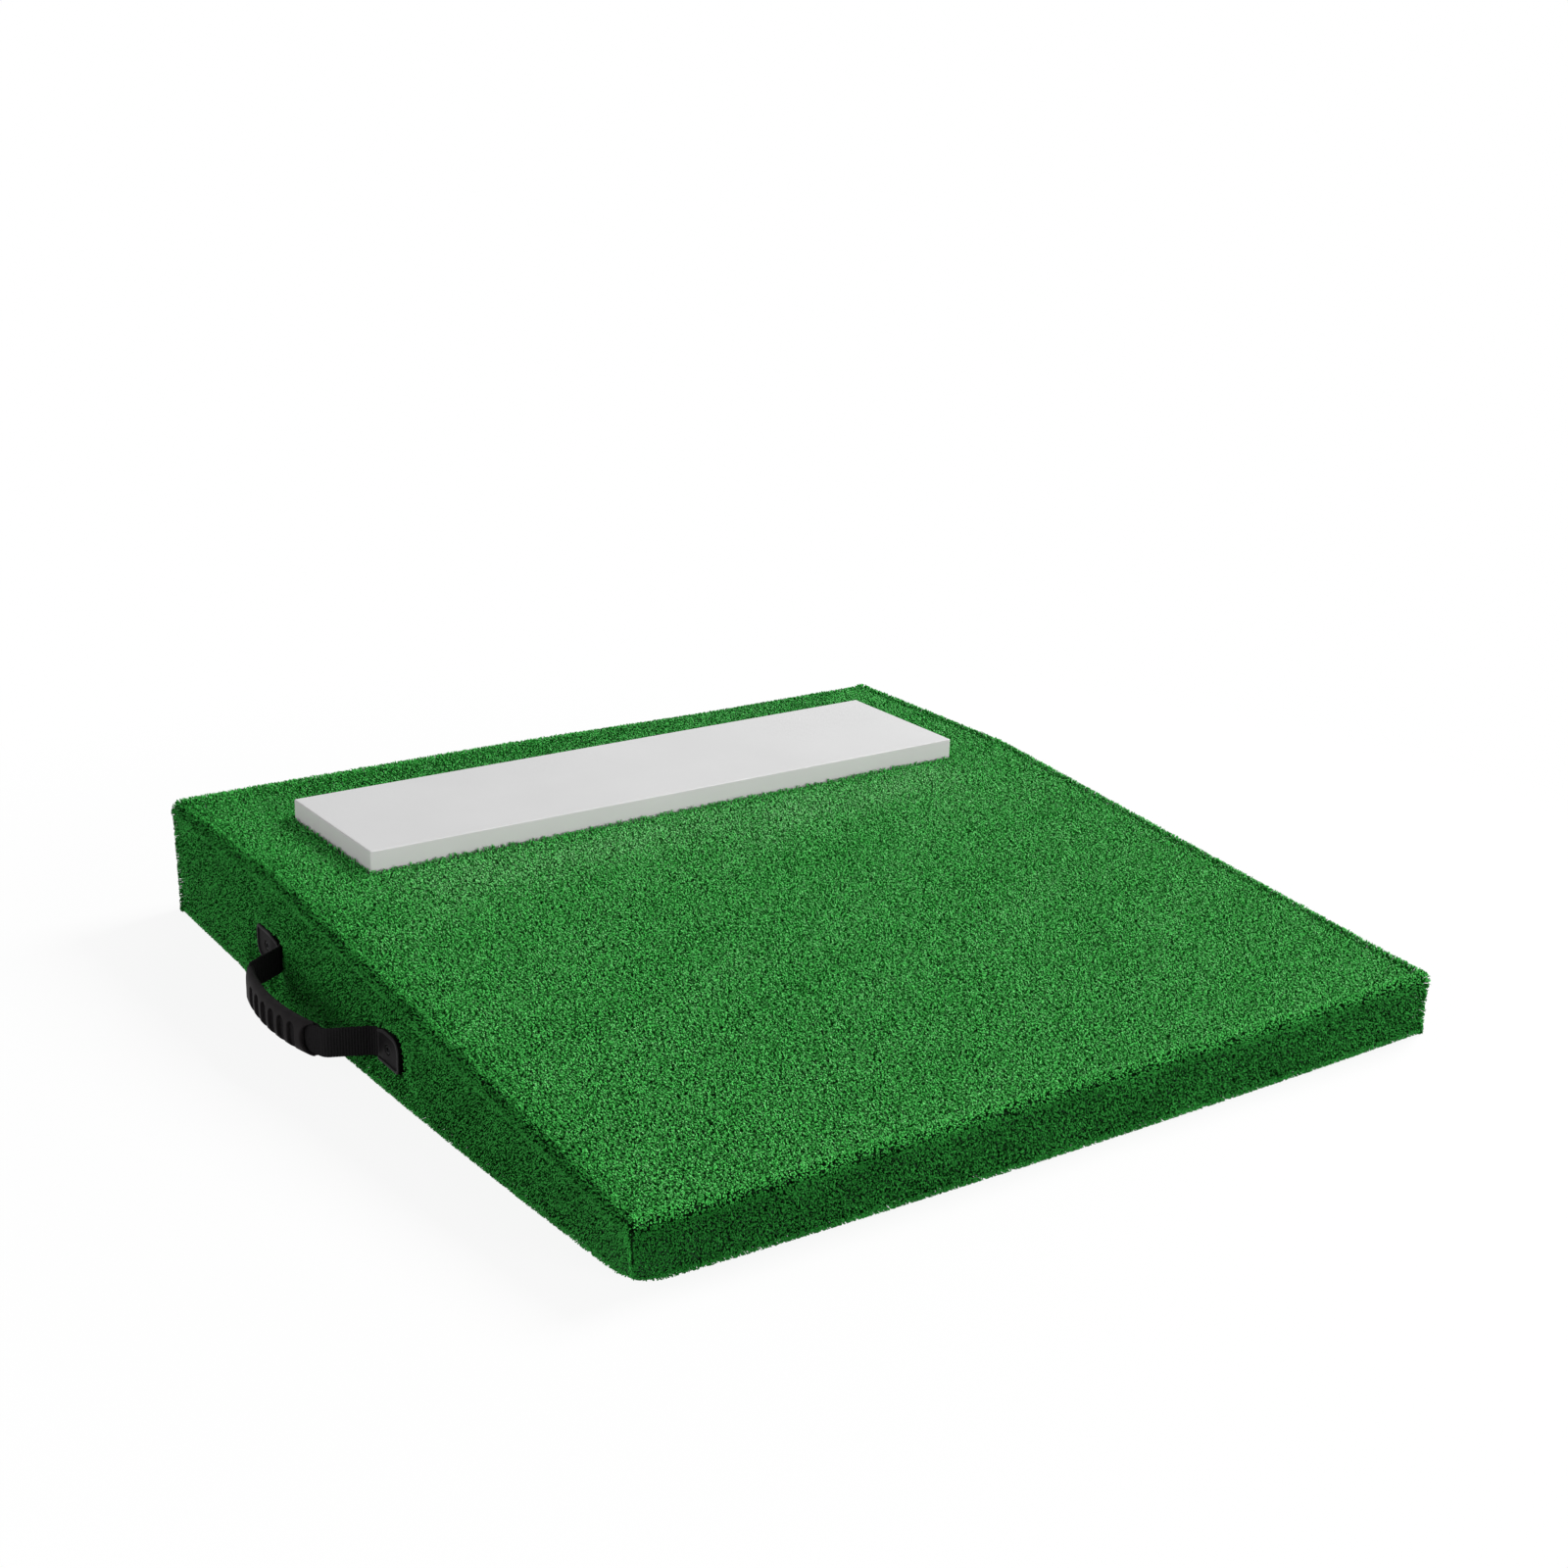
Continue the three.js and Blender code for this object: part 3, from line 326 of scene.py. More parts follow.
def second_finish(piece, material, chosen):
    """Gives another material to the chosen ones among a piece's first faces."""
    piece.data.materials.append(material)
    index = np.zeros(len(piece.data.polygons), np.int32)
    index[:len(chosen)] = chosen
    piece.data.polygons.foreach_set("material_index", index)


def grid_faces(rows, columns, closed_columns=False, first=0):
    """Corners of the quads of a grid of points stored row by row, whose columns may close on themselves."""
    row, column = np.meshgrid(
        np.arange(rows - 1), np.arange(columns - (not closed_columns)), indexing="ij"
    )
    after = (column + 1) % columns
    quads = [row * columns + column, row * columns + after]
    quads += [(row + 1) * columns + after, (row + 1) * columns + column]
    return first + np.stack(quads, -1).reshape(-1, 4)


def rounded_loop(place, half_x, half_y, radii):
    """Points and outward normals of a rectangle with round corners.

    A circle is carried by a centre that moves from corner to corner: place runs from 0 to 8, its odd
    stretches turn the normal by a quarter and its even ones move the centre. radii are those of the
    corners (+x +y), (-x +y), (-x -y) and (+x -y); between two corners the radius changes evenly,
    which keeps the side straight.
    """
    first, second, third, fourth = np.broadcast_to(radii, 4)
    knots = np.arange(9)
    radius = [fourth, first, first, second, second, third, third, fourth, fourth]
    side_x = np.array([1, 1, 1, -1, -1, -1, -1, 1, 1])
    side_y = np.array([-1, 1, 1, 1, 1, -1, -1, -1, -1])
    quarter = np.array([0, 0, 1, 1, 2, 2, 3, 3, 4])
    angle = np.interp(place, knots, quarter * np.pi / 2)
    reach = np.interp(place, knots, radius)
    centre_x = np.interp(place, knots, side_x * (half_x - np.array(radius)))
    centre_y = np.interp(place, knots, side_y * (half_y - np.array(radius)))
    normal = np.stack([np.cos(angle), np.sin(angle)], -1)
    return np.stack([centre_x, centre_y], -1) + reach[..., None] * normal, normal


def loop_places(half_x, half_y, radius, step, corner_steps):
    """Places along a rounded loop: straight stretches in even steps, corners in a set number."""
    counts = []
    for length in (half_y, half_x, half_y, half_x):
        counts += [int(np.ceil(2 * (length - radius) / step)), corner_steps]
    return np.concatenate([
        stretch + np.arange(count) / count for stretch, count in enumerate(counts)
    ])


def stacked_loops(loops):
    """Points and faces of closed loops skinned in turn, with a flat face over the first and the last."""
    rows, columns = loops.shape[:2]
    last = (rows - 1) * columns
    ends = [np.arange(columns)[None, ::-1], last + np.arange(columns)[None]]
    return loops.reshape(-1, 3), [grid_faces(rows, columns, closed_columns=True), *ends]


def unit(vectors):
    """Vectors brought to length 1."""
    return vectors / np.linalg.norm(vectors, axis=-1, keepdims=True)


def smooth_step(share):
    """A share from 0 to 1 that starts and ends softly."""
    return share**2 * (3 - 2 * share)


def wedge_height(y):
    """Height of the pile tips: level at the rear, then a straight fall to the front."""
    return REAR_HEIGHT - SLOPE * np.maximum(0, BREAK_Y - y)


def wedge_normal(y):
    """Upward normal of the plateau or the slope under a place along Y."""
    fall = np.where(y < BREAK_Y, -SLOPE, 0.0)
    return unit(np.stack([np.zeros_like(fall), fall, np.ones_like(fall)], -1))


def mat_loop(place, inset):
    """The mat's plan outline drawn in by an inset, which may differ from point to point."""
    inset = np.asarray(inset)
    radius = np.maximum(CORNER_RADIUS - inset, SMALLEST_RADIUS)
    corner = np.array([HALF_WIDTH, HALF_LENGTH]) - CORNER_RADIUS
    base, normal = rounded_loop(place, *corner, 0)
    square = CORNER_RADIUS - inset - radius
    return base * (1 + square[..., None] / corner) + radius[..., None] * normal, normal


# Materials

def srgb(code):
    """A hex colour as linear red, green, blue and alpha."""
    values = np.array([int(code[i:i + 2], 16) for i in (1, 3, 5)]) / 255
    linear = np.where(values <= 0.04045, values / 12.92, ((values + 0.055) / 1.055) ** 2.4)
    return (*linear.tolist(), 1.0)


def add_node(tree, kind, inputs=None, stops=(), **settings):
    """Adds a node with its settings; inputs gives sockets a value or another node's output, and stops
    gives a ramp its positions and hex colours."""
    made = tree.nodes.new(kind)
    for name, value in settings.items():
        setattr(made, name, value)
    for socket, value in (inputs or {}).items():
        if isinstance(value, bpy.types.NodeSocket):
            tree.links.new(value, made.inputs[socket])
        else:
            made.inputs[socket].default_value = value
    if stops:
        elements = made.color_ramp.elements
        while len(elements) < len(stops):
            elements.new(1.0)
        for element, (position, code) in zip(elements, stops):
            element.position = position
            element.color = srgb(code)
    return made


def new_material(name, **constants):
    """A material with a Principled shader whose constant sockets are set; returns it with its tree."""
    material = bpy.data.materials.new(name)
    material.use_nodes = True
    tree = material.node_tree
    shader = tree.nodes["Principled BSDF"]
    for socket, value in constants.items():
        shader.inputs[socket.replace("_", " ")].default_value = value
    return material, tree, shader


def turf_yarn():
    """Crimped polypropylene yarn, cut, each end of yarn a little lighter or darker than the next. Its colour
    is painted darker down each blade from the bright cut tip to the root, as painted shade deep in the
    pile, and its palest tint is slightly milky, as painted sheen.
    The map's first number is the yarn's tint, which also carries the painted shade and light set on the
    tufts, and its second is the height up the blade, which sets the painted shade down the blade."""
    material, tree, shader = new_material("turf_yarn", Roughness=0.55, Specular_IOR_Level=0.06)
    place = add_node(tree, "ShaderNodeUVMap", uv_map="OFBake")
    parts = add_node(tree, "ShaderNodeSeparateXYZ", {"Vector": place.outputs["UV"]})
    tip = add_node(
        tree, "ShaderNodeValToRGB", {"Fac": parts.outputs["X"]},
        [(0.0, "#115c1a"), (0.5, "#53d55e"), (1.0, "#a9f2a8")],
    )
    # painted shade: the colour darkens down the blade towards its root
    shade = add_node(
        tree, "ShaderNodeValToRGB", {"Fac": parts.outputs["Y"]},
        [(0.0, "#4c5a4d"), (0.7, "#828d83"), (0.8, "#b6bdb7"), (0.88, "#ffffff")],
    )
    mix = add_node(tree, "ShaderNodeMix", {"Factor": 1.0}, data_type="RGBA", blend_type="MULTIPLY")
    tree.links.new(tip.outputs["Color"], mix.inputs["A"])
    tree.links.new(shade.outputs["Color"], mix.inputs["B"])
    tree.links.new(mix.outputs["Result"], shader.inputs["Base Color"])
    return material


def turf_backing_cloth():
    """Woven primary backing under latex: dark green, dull, with a fine square weave."""
    material, tree, shader = new_material("turf_backing_cloth", Roughness=0.9)
    place = add_node(tree, "ShaderNodeTexCoord")
    weave = add_node(
        tree, "ShaderNodeTexVoronoi",
        {"Vector": place.outputs["Object"], "Scale": 1 / (1.5 * MM), "Randomness": 0.2},
    )
    colour = add_node(
        tree, "ShaderNodeValToRGB", {"Fac": weave.outputs["Distance"]}, [(0.1, "#1b5c29"), (0.7, "#12401c")]
    )
    tree.links.new(colour.outputs["Color"], shader.inputs["Base Color"])
    return material


def mottle(tree, shader, size, detail, dark, light, squeeze=None, light_end=0.7):
    """Lets the colour drift between two shades in spots of the given size; a squeeze along the axes draws
    the spots out into threads or grain."""
    place = add_node(tree, "ShaderNodeTexCoord").outputs["Object"]
    if squeeze:
        place = add_node(tree, "ShaderNodeMapping", {"Vector": place, "Scale": squeeze}).outputs["Vector"]
    spots = add_node(tree, "ShaderNodeTexNoise", {"Vector": place, "Scale": 1 / size, "Detail": detail})
    colour = add_node(
        tree, "ShaderNodeValToRGB", {"Fac": spots.outputs["Fac"]}, [(0.3, dark), (light_end, light)]
    )
    tree.links.new(colour.outputs["Color"], shader.inputs["Base Color"])


def roughen(tree, shader, size, detail, strength, depth):
    """Raises a grit of the given size on the surface."""
    place = add_node(tree, "ShaderNodeTexCoord").outputs["Object"]
    grit = add_node(tree, "ShaderNodeTexNoise", {"Vector": place, "Scale": 1 / size, "Detail": detail})
    bump = add_node(
        tree, "ShaderNodeBump", {"Height": grit.outputs["Fac"], "Strength": strength, "Distance": depth}
    )
    tree.links.new(bump.outputs["Normal"], shader.inputs["Normal"])


def moulded_white_rubber(name, dark, light):
    """Compression-moulded white rubber: matt, with faint smudges and a fine grit from the mould, which is
    drawn coarser than it is so that it shows."""
    material, tree, shader = new_material(name, Roughness=0.6, Specular_IOR_Level=0.3)
    mottle(tree, shader, 90 * MM, 4, dark, light)
    roughen(tree, shader, 1.2 * MM, 3, 0.12, 0.2 * MM)
    return material


def black_webbing():
    """Ribbed nylon webbing: near black, with fine threads that lie along the strap."""
    material, tree, shader = new_material("black_webbing", Roughness=0.8, Specular_IOR_Level=0.025)
    mottle(tree, shader, 2 * MM, 3, "#1c1b1c", "#2a292a", squeeze=(1, 1, 6), light_end=0.75)
    return material


def moulded_black(name, dark, light, roughness, grain):
    """Injection-moulded rubbery plastic: dull black, with a fine spark-eroded grain of the given size, which
    is drawn coarser than it is so that it shows."""
    material, tree, shader = new_material(name, Roughness=roughness, Specular_IOR_Level=0.025)
    mottle(tree, shader, 9 * MM, 4, dark, light)
    roughen(tree, shader, grain, 2, 0.25, 0.1 * MM)
    return material


def plain_metal(name, dark, light, roughness):
    """Plated or oxidised steel or turned brass, with a faint cloudy variation of its plating."""
    material, tree, shader = new_material(name, Roughness=roughness, Metallic=1.0)
    mottle(tree, shader, 4 * MM, 3, dark, light)
    return material


def birch_plywood():
    """Birch plywood: pale, with long grain streaks."""
    material, tree, shader = new_material("birch_plywood", Roughness=0.65)
    mottle(tree, shader, 6 * MM, 5, "#b58c58", "#d8b98a", squeeze=(1, 0.05, 1))
    return material


def ribbed_base_rubber():
    """Anti-slip rubber sheet with narrow ribs, 4 mm apart."""
    material, tree, shader = new_material("ribbed_base_rubber", Roughness=0.8)
    place = add_node(tree, "ShaderNodeTexCoord").outputs["Object"]
    ribs = add_node(tree, "ShaderNodeTexWave", {"Vector": place, "Scale": np.pi / 10 / (4 * MM)})
    colour = add_node(
        tree, "ShaderNodeValToRGB", {"Fac": ribs.outputs["Fac"]}, [(0.2, "#141416"), (0.8, "#222225")]
    )
    bump = add_node(
        tree, "ShaderNodeBump", {"Height": ribs.outputs["Fac"], "Strength": 0.6, "Distance": 1 * MM}
    )
    tree.links.new(colour.outputs["Color"], shader.inputs["Base Color"])
    tree.links.new(bump.outputs["Normal"], shader.inputs["Normal"])
    return material


yarn = turf_yarn()
backing_cloth = turf_backing_cloth()
white_rubber = moulded_white_rubber("moulded_white_rubber", "#d5d5d5", "#d9d9d9")
# The rubber's walls are painted a little paler and warmer than its top: painted light that lightens the walls and
# takes out some of the green the turf throws on them
wall_rubber_painted_light = moulded_white_rubber("white_rubber_painted_light_walls", "#dcd6da", "#e0dade")
webbing = black_webbing()
grip_rubber = moulded_black("charcoal_grip_rubber", "#201e1f", "#292728", 0.5, 0.7 * MM)
cap_plastic = moulded_black("black_cap_plastic", "#111011", "#171617", 0.5, 0.8 * MM)
# The rims of the caps, painted a dull grey as a painted highlight where their edge catches the light
cap_rim_painted_highlight = moulded_black("cap_edge_plastic", "#282728", "#302f30", 0.45, 0.8 * MM)
black_oxide = plain_metal("black_oxide_steel", "#0c0c0d", "#141415", 0.5)
zinc_plate = plain_metal("zinc_plated_steel", "#b4b8bb", "#cfd2d4", 0.35)
turned_brass = plain_metal("turned_brass", "#b3923f", "#cbab5a", 0.3)
plywood = birch_plywood()
base_rubber = ribbed_base_rubber()
FINISHES = {
    "turf": backing_cloth, "pale_rubber": white_rubber, "base_rubber": base_rubber,
    "cap_rubber": cap_plastic, "webbing": webbing, "grip_rubber": grip_rubber, "plywood": plywood,
    "zinc_steel": zinc_plate, "black_steel": black_oxide, "brass": turned_brass,
}

for row in frame["record"]["subparts"]:
    mesh = frame["nodes"][row["node"]].data
    mesh.materials.clear()
    mesh.materials.append(FINISHES[row["material_slot"]])


# Turf

def pinned(plan, z):
    """1 where an end cap holds the turf against the left side, 0 well away from it, smooth between."""
    along = np.abs(np.abs(plan[:, 1] - HANDLE_MIDDLE[1]) - CAP_MIDDLE) - CAP_HALF_LENGTH
    up = np.abs(z - HANDLE_MIDDLE[2]) - CAP_HALF_HEIGHT
    away = np.hypot(np.maximum(along, 0) / PINNED_REACH, np.maximum(up, 0) / PINNED_DROP)
    hold = np.clip(1 - away, 0, 1)
    return np.where(plan[:, 0] < PINNED_STRIP, smooth_step(hold), 0)


def side_shift(place, plan, z):
    """How far the side leaves the upright. Along each side the foot follows a parabola through its shift at
    the start, middle and end of the side: drawn in at most corners and bowed out between them. Behind the
    grip it bulges out by a bell curve as well. The shift fades out up to the top edge, and what is bowed
    out also at the end caps."""
    share = np.clip(place % 2, 0, 1)
    start, middle, end = FOOT_SHIFTS[(place // 2).astype(int)].T
    foot = start * (1 - share) * (1 - 2 * share) + 4 * middle * share * (1 - share)
    foot = foot + end * share * (2 * share - 1)
    from_bulge = np.where(plan[:, 0] < 0, (plan[:, 1] - BULGE_PLACE) / BULGE_REACH, np.inf)
    foot = foot + BULGE * np.exp(-(from_bulge**2))
    fade = np.clip(1 - z / (wedge_height(plan[:, 1]) - TOP_EDGE_RADIUS), 0, 1)
    return fade * np.where(foot > 0, foot * (1 - pinned(plan, z)), foot)


def tucked_in(plan, out, inset, z):
    """Rounds off the foot of the front left corner, where the turf is folded round the base board: points
    beyond a circle, whose radius grows towards the floor, move to it along its radius."""
    ease = np.clip((TUCK_HEIGHT - z) / (TUCK_HEIGHT - TUCK_FULL_HEIGHT), 0, 1)
    radius = TUCK_RADIUS * smooth_step(ease)
    offset = plan + np.array([HALF_WIDTH, HALF_LENGTH]) - PILE_HEIGHT - radius[:, None]
    reach = np.linalg.norm(offset, axis=1)
    room = np.maximum(radius - (inset - PILE_HEIGHT), SMALLEST_RADIUS)
    tucked = ((offset < 0).all(1) & (reach > room))[:, None]
    ray = offset / np.maximum(reach, 0.01 * MM)[:, None]
    moved = plan + (room - reach)[:, None] * ray
    return np.where(tucked, moved, plan), np.where(tucked, ray, out)


def turf_backing():
    """The backing sheet: the mat's outline carried along a profile that starts at the inner edge of the
    hem, folds up, climbs the bowed side, rolls over the top edge and runs in to the window of the
    rubber."""
    places = loop_places(HALF_WIDTH, HALF_LENGTH, CORNER_RADIUS, BACKING_STEP, BACKING_CORNER_STEPS)
    columns = len(places)
    rows = []

    def add_ring(inset, height):
        plan, out = mat_loop(places, np.full(columns, inset))
        z = height(plan[:, 1]) if callable(height) else np.full(columns, height)
        shift = np.maximum(side_shift(places, plan, z), 0)
        plan, _ = tucked_in(plan + shift[:, None] * out, out, inset, z)
        rows.append(np.column_stack([plan, z]))

    for share in np.linspace(0, 1, HEM_ROWS):
        inset = PILE_HEIGHT + FOLD_RADIUS + (1 - share) * (HEM_WIDTH + BACKING_THICKNESS - FOLD_RADIUS)
        add_ring(inset, HEM_BOTTOM)
    for turn in np.linspace(0, np.pi / 2, FOLD_ROWS)[1:]:
        inset = PILE_HEIGHT + FOLD_RADIUS * (1 - np.sin(turn))
        add_ring(inset, HEM_BOTTOM + FOLD_RADIUS * (1 - np.cos(turn)))
    side_foot = HEM_BOTTOM + FOLD_RADIUS
    for share in np.concatenate([np.linspace(0, 0.25, 9)[1:], np.linspace(0.25, 1, 7)[1:]]):
        add_ring(
            PILE_HEIGHT,
            lambda y: side_foot + share * (wedge_height(y) - TOP_EDGE_RADIUS - side_foot),
        )
    for turn in np.linspace(0, np.pi / 2, ROLL_ROWS)[1:]:
        drop = TOP_EDGE_RADIUS - ROOT_EDGE_RADIUS * np.sin(turn)
        inset = TOP_EDGE_RADIUS - ROOT_EDGE_RADIUS * np.cos(turn)
        add_ring(inset, lambda y: wedge_height(y) - drop)
    edge = rows[-1][:, :2]
    window, _ = rounded_loop(places, RUBBER_HALF[0], RUBBER_HALF[1], RUBBER_CORNER_RADIUS)
    window = window + RUBBER_MIDDLE[:2]
    for share in np.linspace(0, 1, WINDOW_ROWS)[1:]:
        plan = edge + share * (window - edge)
        rows.append(np.column_stack([plan, wedge_height(plan[:, 1]) - PILE_HEIGHT]))
    points = np.concatenate(rows)
    piece = make_piece(
        "turf_backing", points, [grid_faces(len(rows), columns, closed_columns=True)], backing_cloth
    )
    wall = piece.modifiers.new("thickness", "SOLIDIFY")
    wall.thickness = BACKING_THICKNESS
    wall.offset = -1
    return piece


def clouds(points, size):
    """Soft unevenness between about -1 and 1: plane waves of random heading, near the given size."""
    heading = rng.uniform(0, 2 * np.pi, CLOUD_WAVES)
    wave = 2 * np.pi / (size * rng.uniform(*CLOUD_WAVE_SIZES, CLOUD_WAVES))
    start = rng.uniform(0, 2 * np.pi, CLOUD_WAVES)
    across = points[:, :1] * np.cos(heading) + points[:, 1:2] * np.sin(heading) + points[:, 2:3]
    return np.sin(across * wave + start).sum(1) / (CLOUD_WAVES / 2)


def top_tufts():
    """Tufts on the plateau and slope: rows of stitches along Y, each staggered to the next and shaken a
    little, that leave out the rolled edge and the window of the rubber. Every other row stands a little
    lower, which shows as faint lines, and close to the rubber the pile is pushed up in clumps.
    Gives roots, normals, mean leans and heights."""
    reach_x = HALF_WIDTH - TOP_EDGE_RADIUS
    reach_y = HALF_LENGTH - TOP_EDGE_RADIUS
    x, y = np.meshgrid(
        np.arange(-reach_x, reach_x, ROW_GAUGE), np.arange(-reach_y, reach_y, STITCH_PITCH), indexing="ij"
    )
    row = np.repeat(np.arange(len(x)) % 2, x.shape[1])
    x = x.ravel() + ROW_GAUGE * rng.uniform(-TUFT_JITTER, TUFT_JITTER, x.size)
    y = y.ravel() + STITCH_PITCH * (0.5 * row + rng.uniform(-TUFT_JITTER, TUFT_JITTER, y.size))
    corner = CORNER_RADIUS - TOP_EDGE_RADIUS
    beyond_x = np.maximum(np.abs(x) - (reach_x - corner), 0)
    beyond_y = np.maximum(np.abs(y) - (reach_y - corner), 0)
    beside_x = np.abs(x - RUBBER_MIDDLE[0]) - RUBBER_HALF[0]
    beside_y = np.abs(y - RUBBER_MIDDLE[1]) - RUBBER_HALF[1]
    kept = (np.hypot(beyond_x, beyond_y) <= corner) & (np.maximum(beside_x, beside_y) > RUBBER_MARGIN)
    x, y, row = x[kept], y[kept], row[kept]
    root = np.column_stack([x, y, wedge_height(y) - PILE_HEIGHT])
    height = PILE_HEIGHT * (1 + ROW_STEP * (0.5 - row)) + rear_swell(root, reach_y - y)
    beside = np.maximum(beside_x, beside_y)[kept]
    clump = np.clip(CLUMP_SHARE + CLUMP_CONTRAST * clouds(root, CLUMP_SIZE), 0, 1)
    height = height + CLUMP_HEIGHT * clump * np.exp(-((beside / CLUMP_REACH) ** 2))
    return root, wedge_normal(y), np.tile(TOP_LAY, (len(root), 1)), height


def rear_swell(root, from_edge):
    """How much longer the pile stands along the rear edge, most of all on its left half: a bell curve of
    the way from the start of the rolled edge."""
    along = np.clip((REAR_SWELL_ENDS[0] - root[:, 0]) / np.ptp(REAR_SWELL_ENDS), 0, 1)
    return REAR_SWELL * along * np.exp(-((from_edge / REAR_SWELL_REACH) ** 2))


def side_swell(plan, out, z, turn, down):
    """How much longer the pile stands on the sides: on the right side by a bent line along Y, less at the
    foot; along the rear edge as on the top; and on the left side towards its upper rear corner."""
    upright = np.sqrt(np.sin(turn))
    right = np.interp(plan[:, 1], RIGHT_SWELL_PLACES, RIGHT_SWELLS) * np.maximum(out[:, 0], 0)
    right = right * upright * np.clip(z / FRONT_HEIGHT, RIGHT_SWELL_FOOT, 1)
    rear = np.maximum(out[:, 1], 0) ** 2 * rear_swell(plan, down)
    toward_rear = np.clip((plan[:, 1] - LEFT_SWELL_ENDS[0]) / np.ptp(LEFT_SWELL_ENDS), 0, 1)
    left = LEFT_SWELL * np.maximum(-out[:, 0], 0) ** 2 * upright * toward_rear * z / REAR_HEIGHT
    return right + rear + left


def side_shade(past_rim, side, band, plan):
    """Tints of the tufts on the sides and how even they are. Down the rolled edge the tint turns from the
    top's to the side's darker one, which is painted shade, with a band of painted shade on the way, and
    the front is painted darker towards its left corner, as painted shade."""
    turned = smooth_step(np.clip((past_rim - EDGE_PLACE[side]) / EDGE_TURN + 0.5, 0, 1))
    shade = TOP_SHADE + (SIDE_PAINTED_SHADES[side] - TOP_SHADE) * turned - EDGE_PAINTED_SHADE[side] * band
    on_front = side == SIDES.index("front")
    # painted shade: the front is painted darker towards its left corner
    from_corner = np.where(on_front, (plan[:, 0] + HALF_WIDTH) / CORNER_REACH, np.inf)
    shade -= CORNER_PAINTED_SHADE * turned * np.exp(-from_corner)
    return shade, 1 - SIDE_EVENNESS[side] * turned


def side_tufts():
    """Tufts on the rolled edge and the sides: roots, normals, mean leans, heights, tints, how even the tint
    is, and the side of each.

    A tuft's place is measured at its tips, a way along the outline and a way down the profile, so that
    the tips stay as close on the rolled edge and the corners as on the flat. Down the profile comes
    first the roll, where the pile opens like a fan, and then the straight side, with a denser fringe
    along the floor. The pile parts at the seams in the corners."""
    roll = TOP_EDGE_RADIUS * np.pi / 2
    arc = CORNER_RADIUS * np.pi / 2
    straight_y = 2 * (HALF_LENGTH - CORNER_RADIUS)
    straight_x = 2 * (HALF_WIDTH - CORNER_RADIUS)
    knots = np.cumsum([0, straight_y, arc, straight_x, arc, straight_y, arc, straight_x, arc])
    rows = np.concatenate([np.arange(0, roll, ROLL_PITCH), np.arange(roll, roll + REAR_HEIGHT, SIDE_PITCH)])
    down, around = np.meshgrid(rows, np.arange(0, knots[-1], SIDE_PITCH), indexing="ij")
    down = down.ravel() + SIDE_PITCH * rng.uniform(-TUFT_JITTER, TUFT_JITTER, down.size)
    around = around.ravel() + SIDE_PITCH * rng.uniform(-TUFT_JITTER, TUFT_JITTER, around.size)
    fringe_around = np.tile(np.arange(0, knots[-1], FRINGE_PITCH), FRINGE_ROWS)
    fringe_z = LOWEST_ROOT + FRINGE_ROWS * FRINGE_PITCH * rng.random(len(fringe_around))
    fringe = np.arange(len(around) + len(fringe_around)) >= len(around)
    around = np.concatenate([around, fringe_around]) % knots[-1]
    place = np.interp(around, knots, np.arange(9))
    level = wedge_height(mat_loop(place, np.full(len(place), PILE_HEIGHT))[0][:, 1])
    down = np.concatenate([down, level[fringe] - TOP_EDGE_RADIUS + roll - fringe_z])
    turn = np.clip(down / TOP_EDGE_RADIUS, 0, np.pi / 2)
    plan, out = mat_loop(place, TOP_EDGE_RADIUS - ROOT_EDGE_RADIUS * np.sin(turn))
    below = np.maximum(down - roll, 0)
    z = wedge_height(plan[:, 1]) - TOP_EDGE_RADIUS + ROOT_EDGE_RADIUS * np.cos(turn) - below
    shift = side_shift(place, plan, z)
    plan, out = tucked_in(plan + np.maximum(shift, 0)[:, None] * out, out, PILE_HEIGHT, z)
    corner = np.clip(place % 2 - 1, 0, 1) * np.pi / 2
    fullness = np.sin(2 * turn) + np.sin(turn) * np.sin(2 * corner)
    swell = side_swell(plan, out, z, turn, down)
    height = PILE_HEIGHT * (1 + EDGE_FULLNESS * fullness) + np.minimum(shift, 0) + swell
    height = np.minimum(np.maximum(height, SHORTEST_PILE), room_under_strap(plan, z))

    out = np.column_stack([out, np.zeros(len(out))])
    normal = unit(np.sin(turn)[:, None] * out + np.cos(turn)[:, None] * wedge_normal(plan[:, 1]))
    steep = np.sin(turn)[:, None]
    lean = TOP_LAY * (1 - steep) + SIDE_LAY * steep
    past_seam = (place % 2 - 1.5) * arc
    parting = SEAM_PARTING * np.clip(1 - np.abs(past_seam) / SEAM_REACH, 0, 1) * np.sign(past_seam)
    lean += (parting * np.sin(turn))[:, None] * np.column_stack([-out[:, 1], out[:, 0], out[:, 2]])

    kept = (z > LOWEST_ROOT) & ~under_cap(plan, z)
    side = np.floor(((place + 0.5) % 8) / 2).astype(int)
    root = np.column_stack([plan, z])
    past_rim = down / roll
    # the band thins the pile here and is painted darker, as painted shade, in side_shade
    band = np.exp(-(((past_rim - EDGE_PLACE[side]) / EDGE_BAND) ** 2))
    band = band * (1 + EDGE_CLOUD * clouds(root, EDGE_CLOUD_SIZE))
    kept &= rng.random(len(z)) > EDGE_THINNING[side] * band
    shade, contrast = side_shade(past_rim, side, band, plan)
    return [array[kept] for array in (root, normal, lean, height, shade, contrast, side)]


def on_left_side(plan, z):
    """Places along and up from the strap's roots, and whether a tuft is on the left side at all."""
    left = plan[:, 0] < -HALF_WIDTH + TOP_EDGE_RADIUS
    along = plan[:, 1] - HANDLE_MIDDLE[1]
    return along, z - HANDLE_MIDDLE[2] + HANDLE_SAG - HANDLE_TILT * along, left


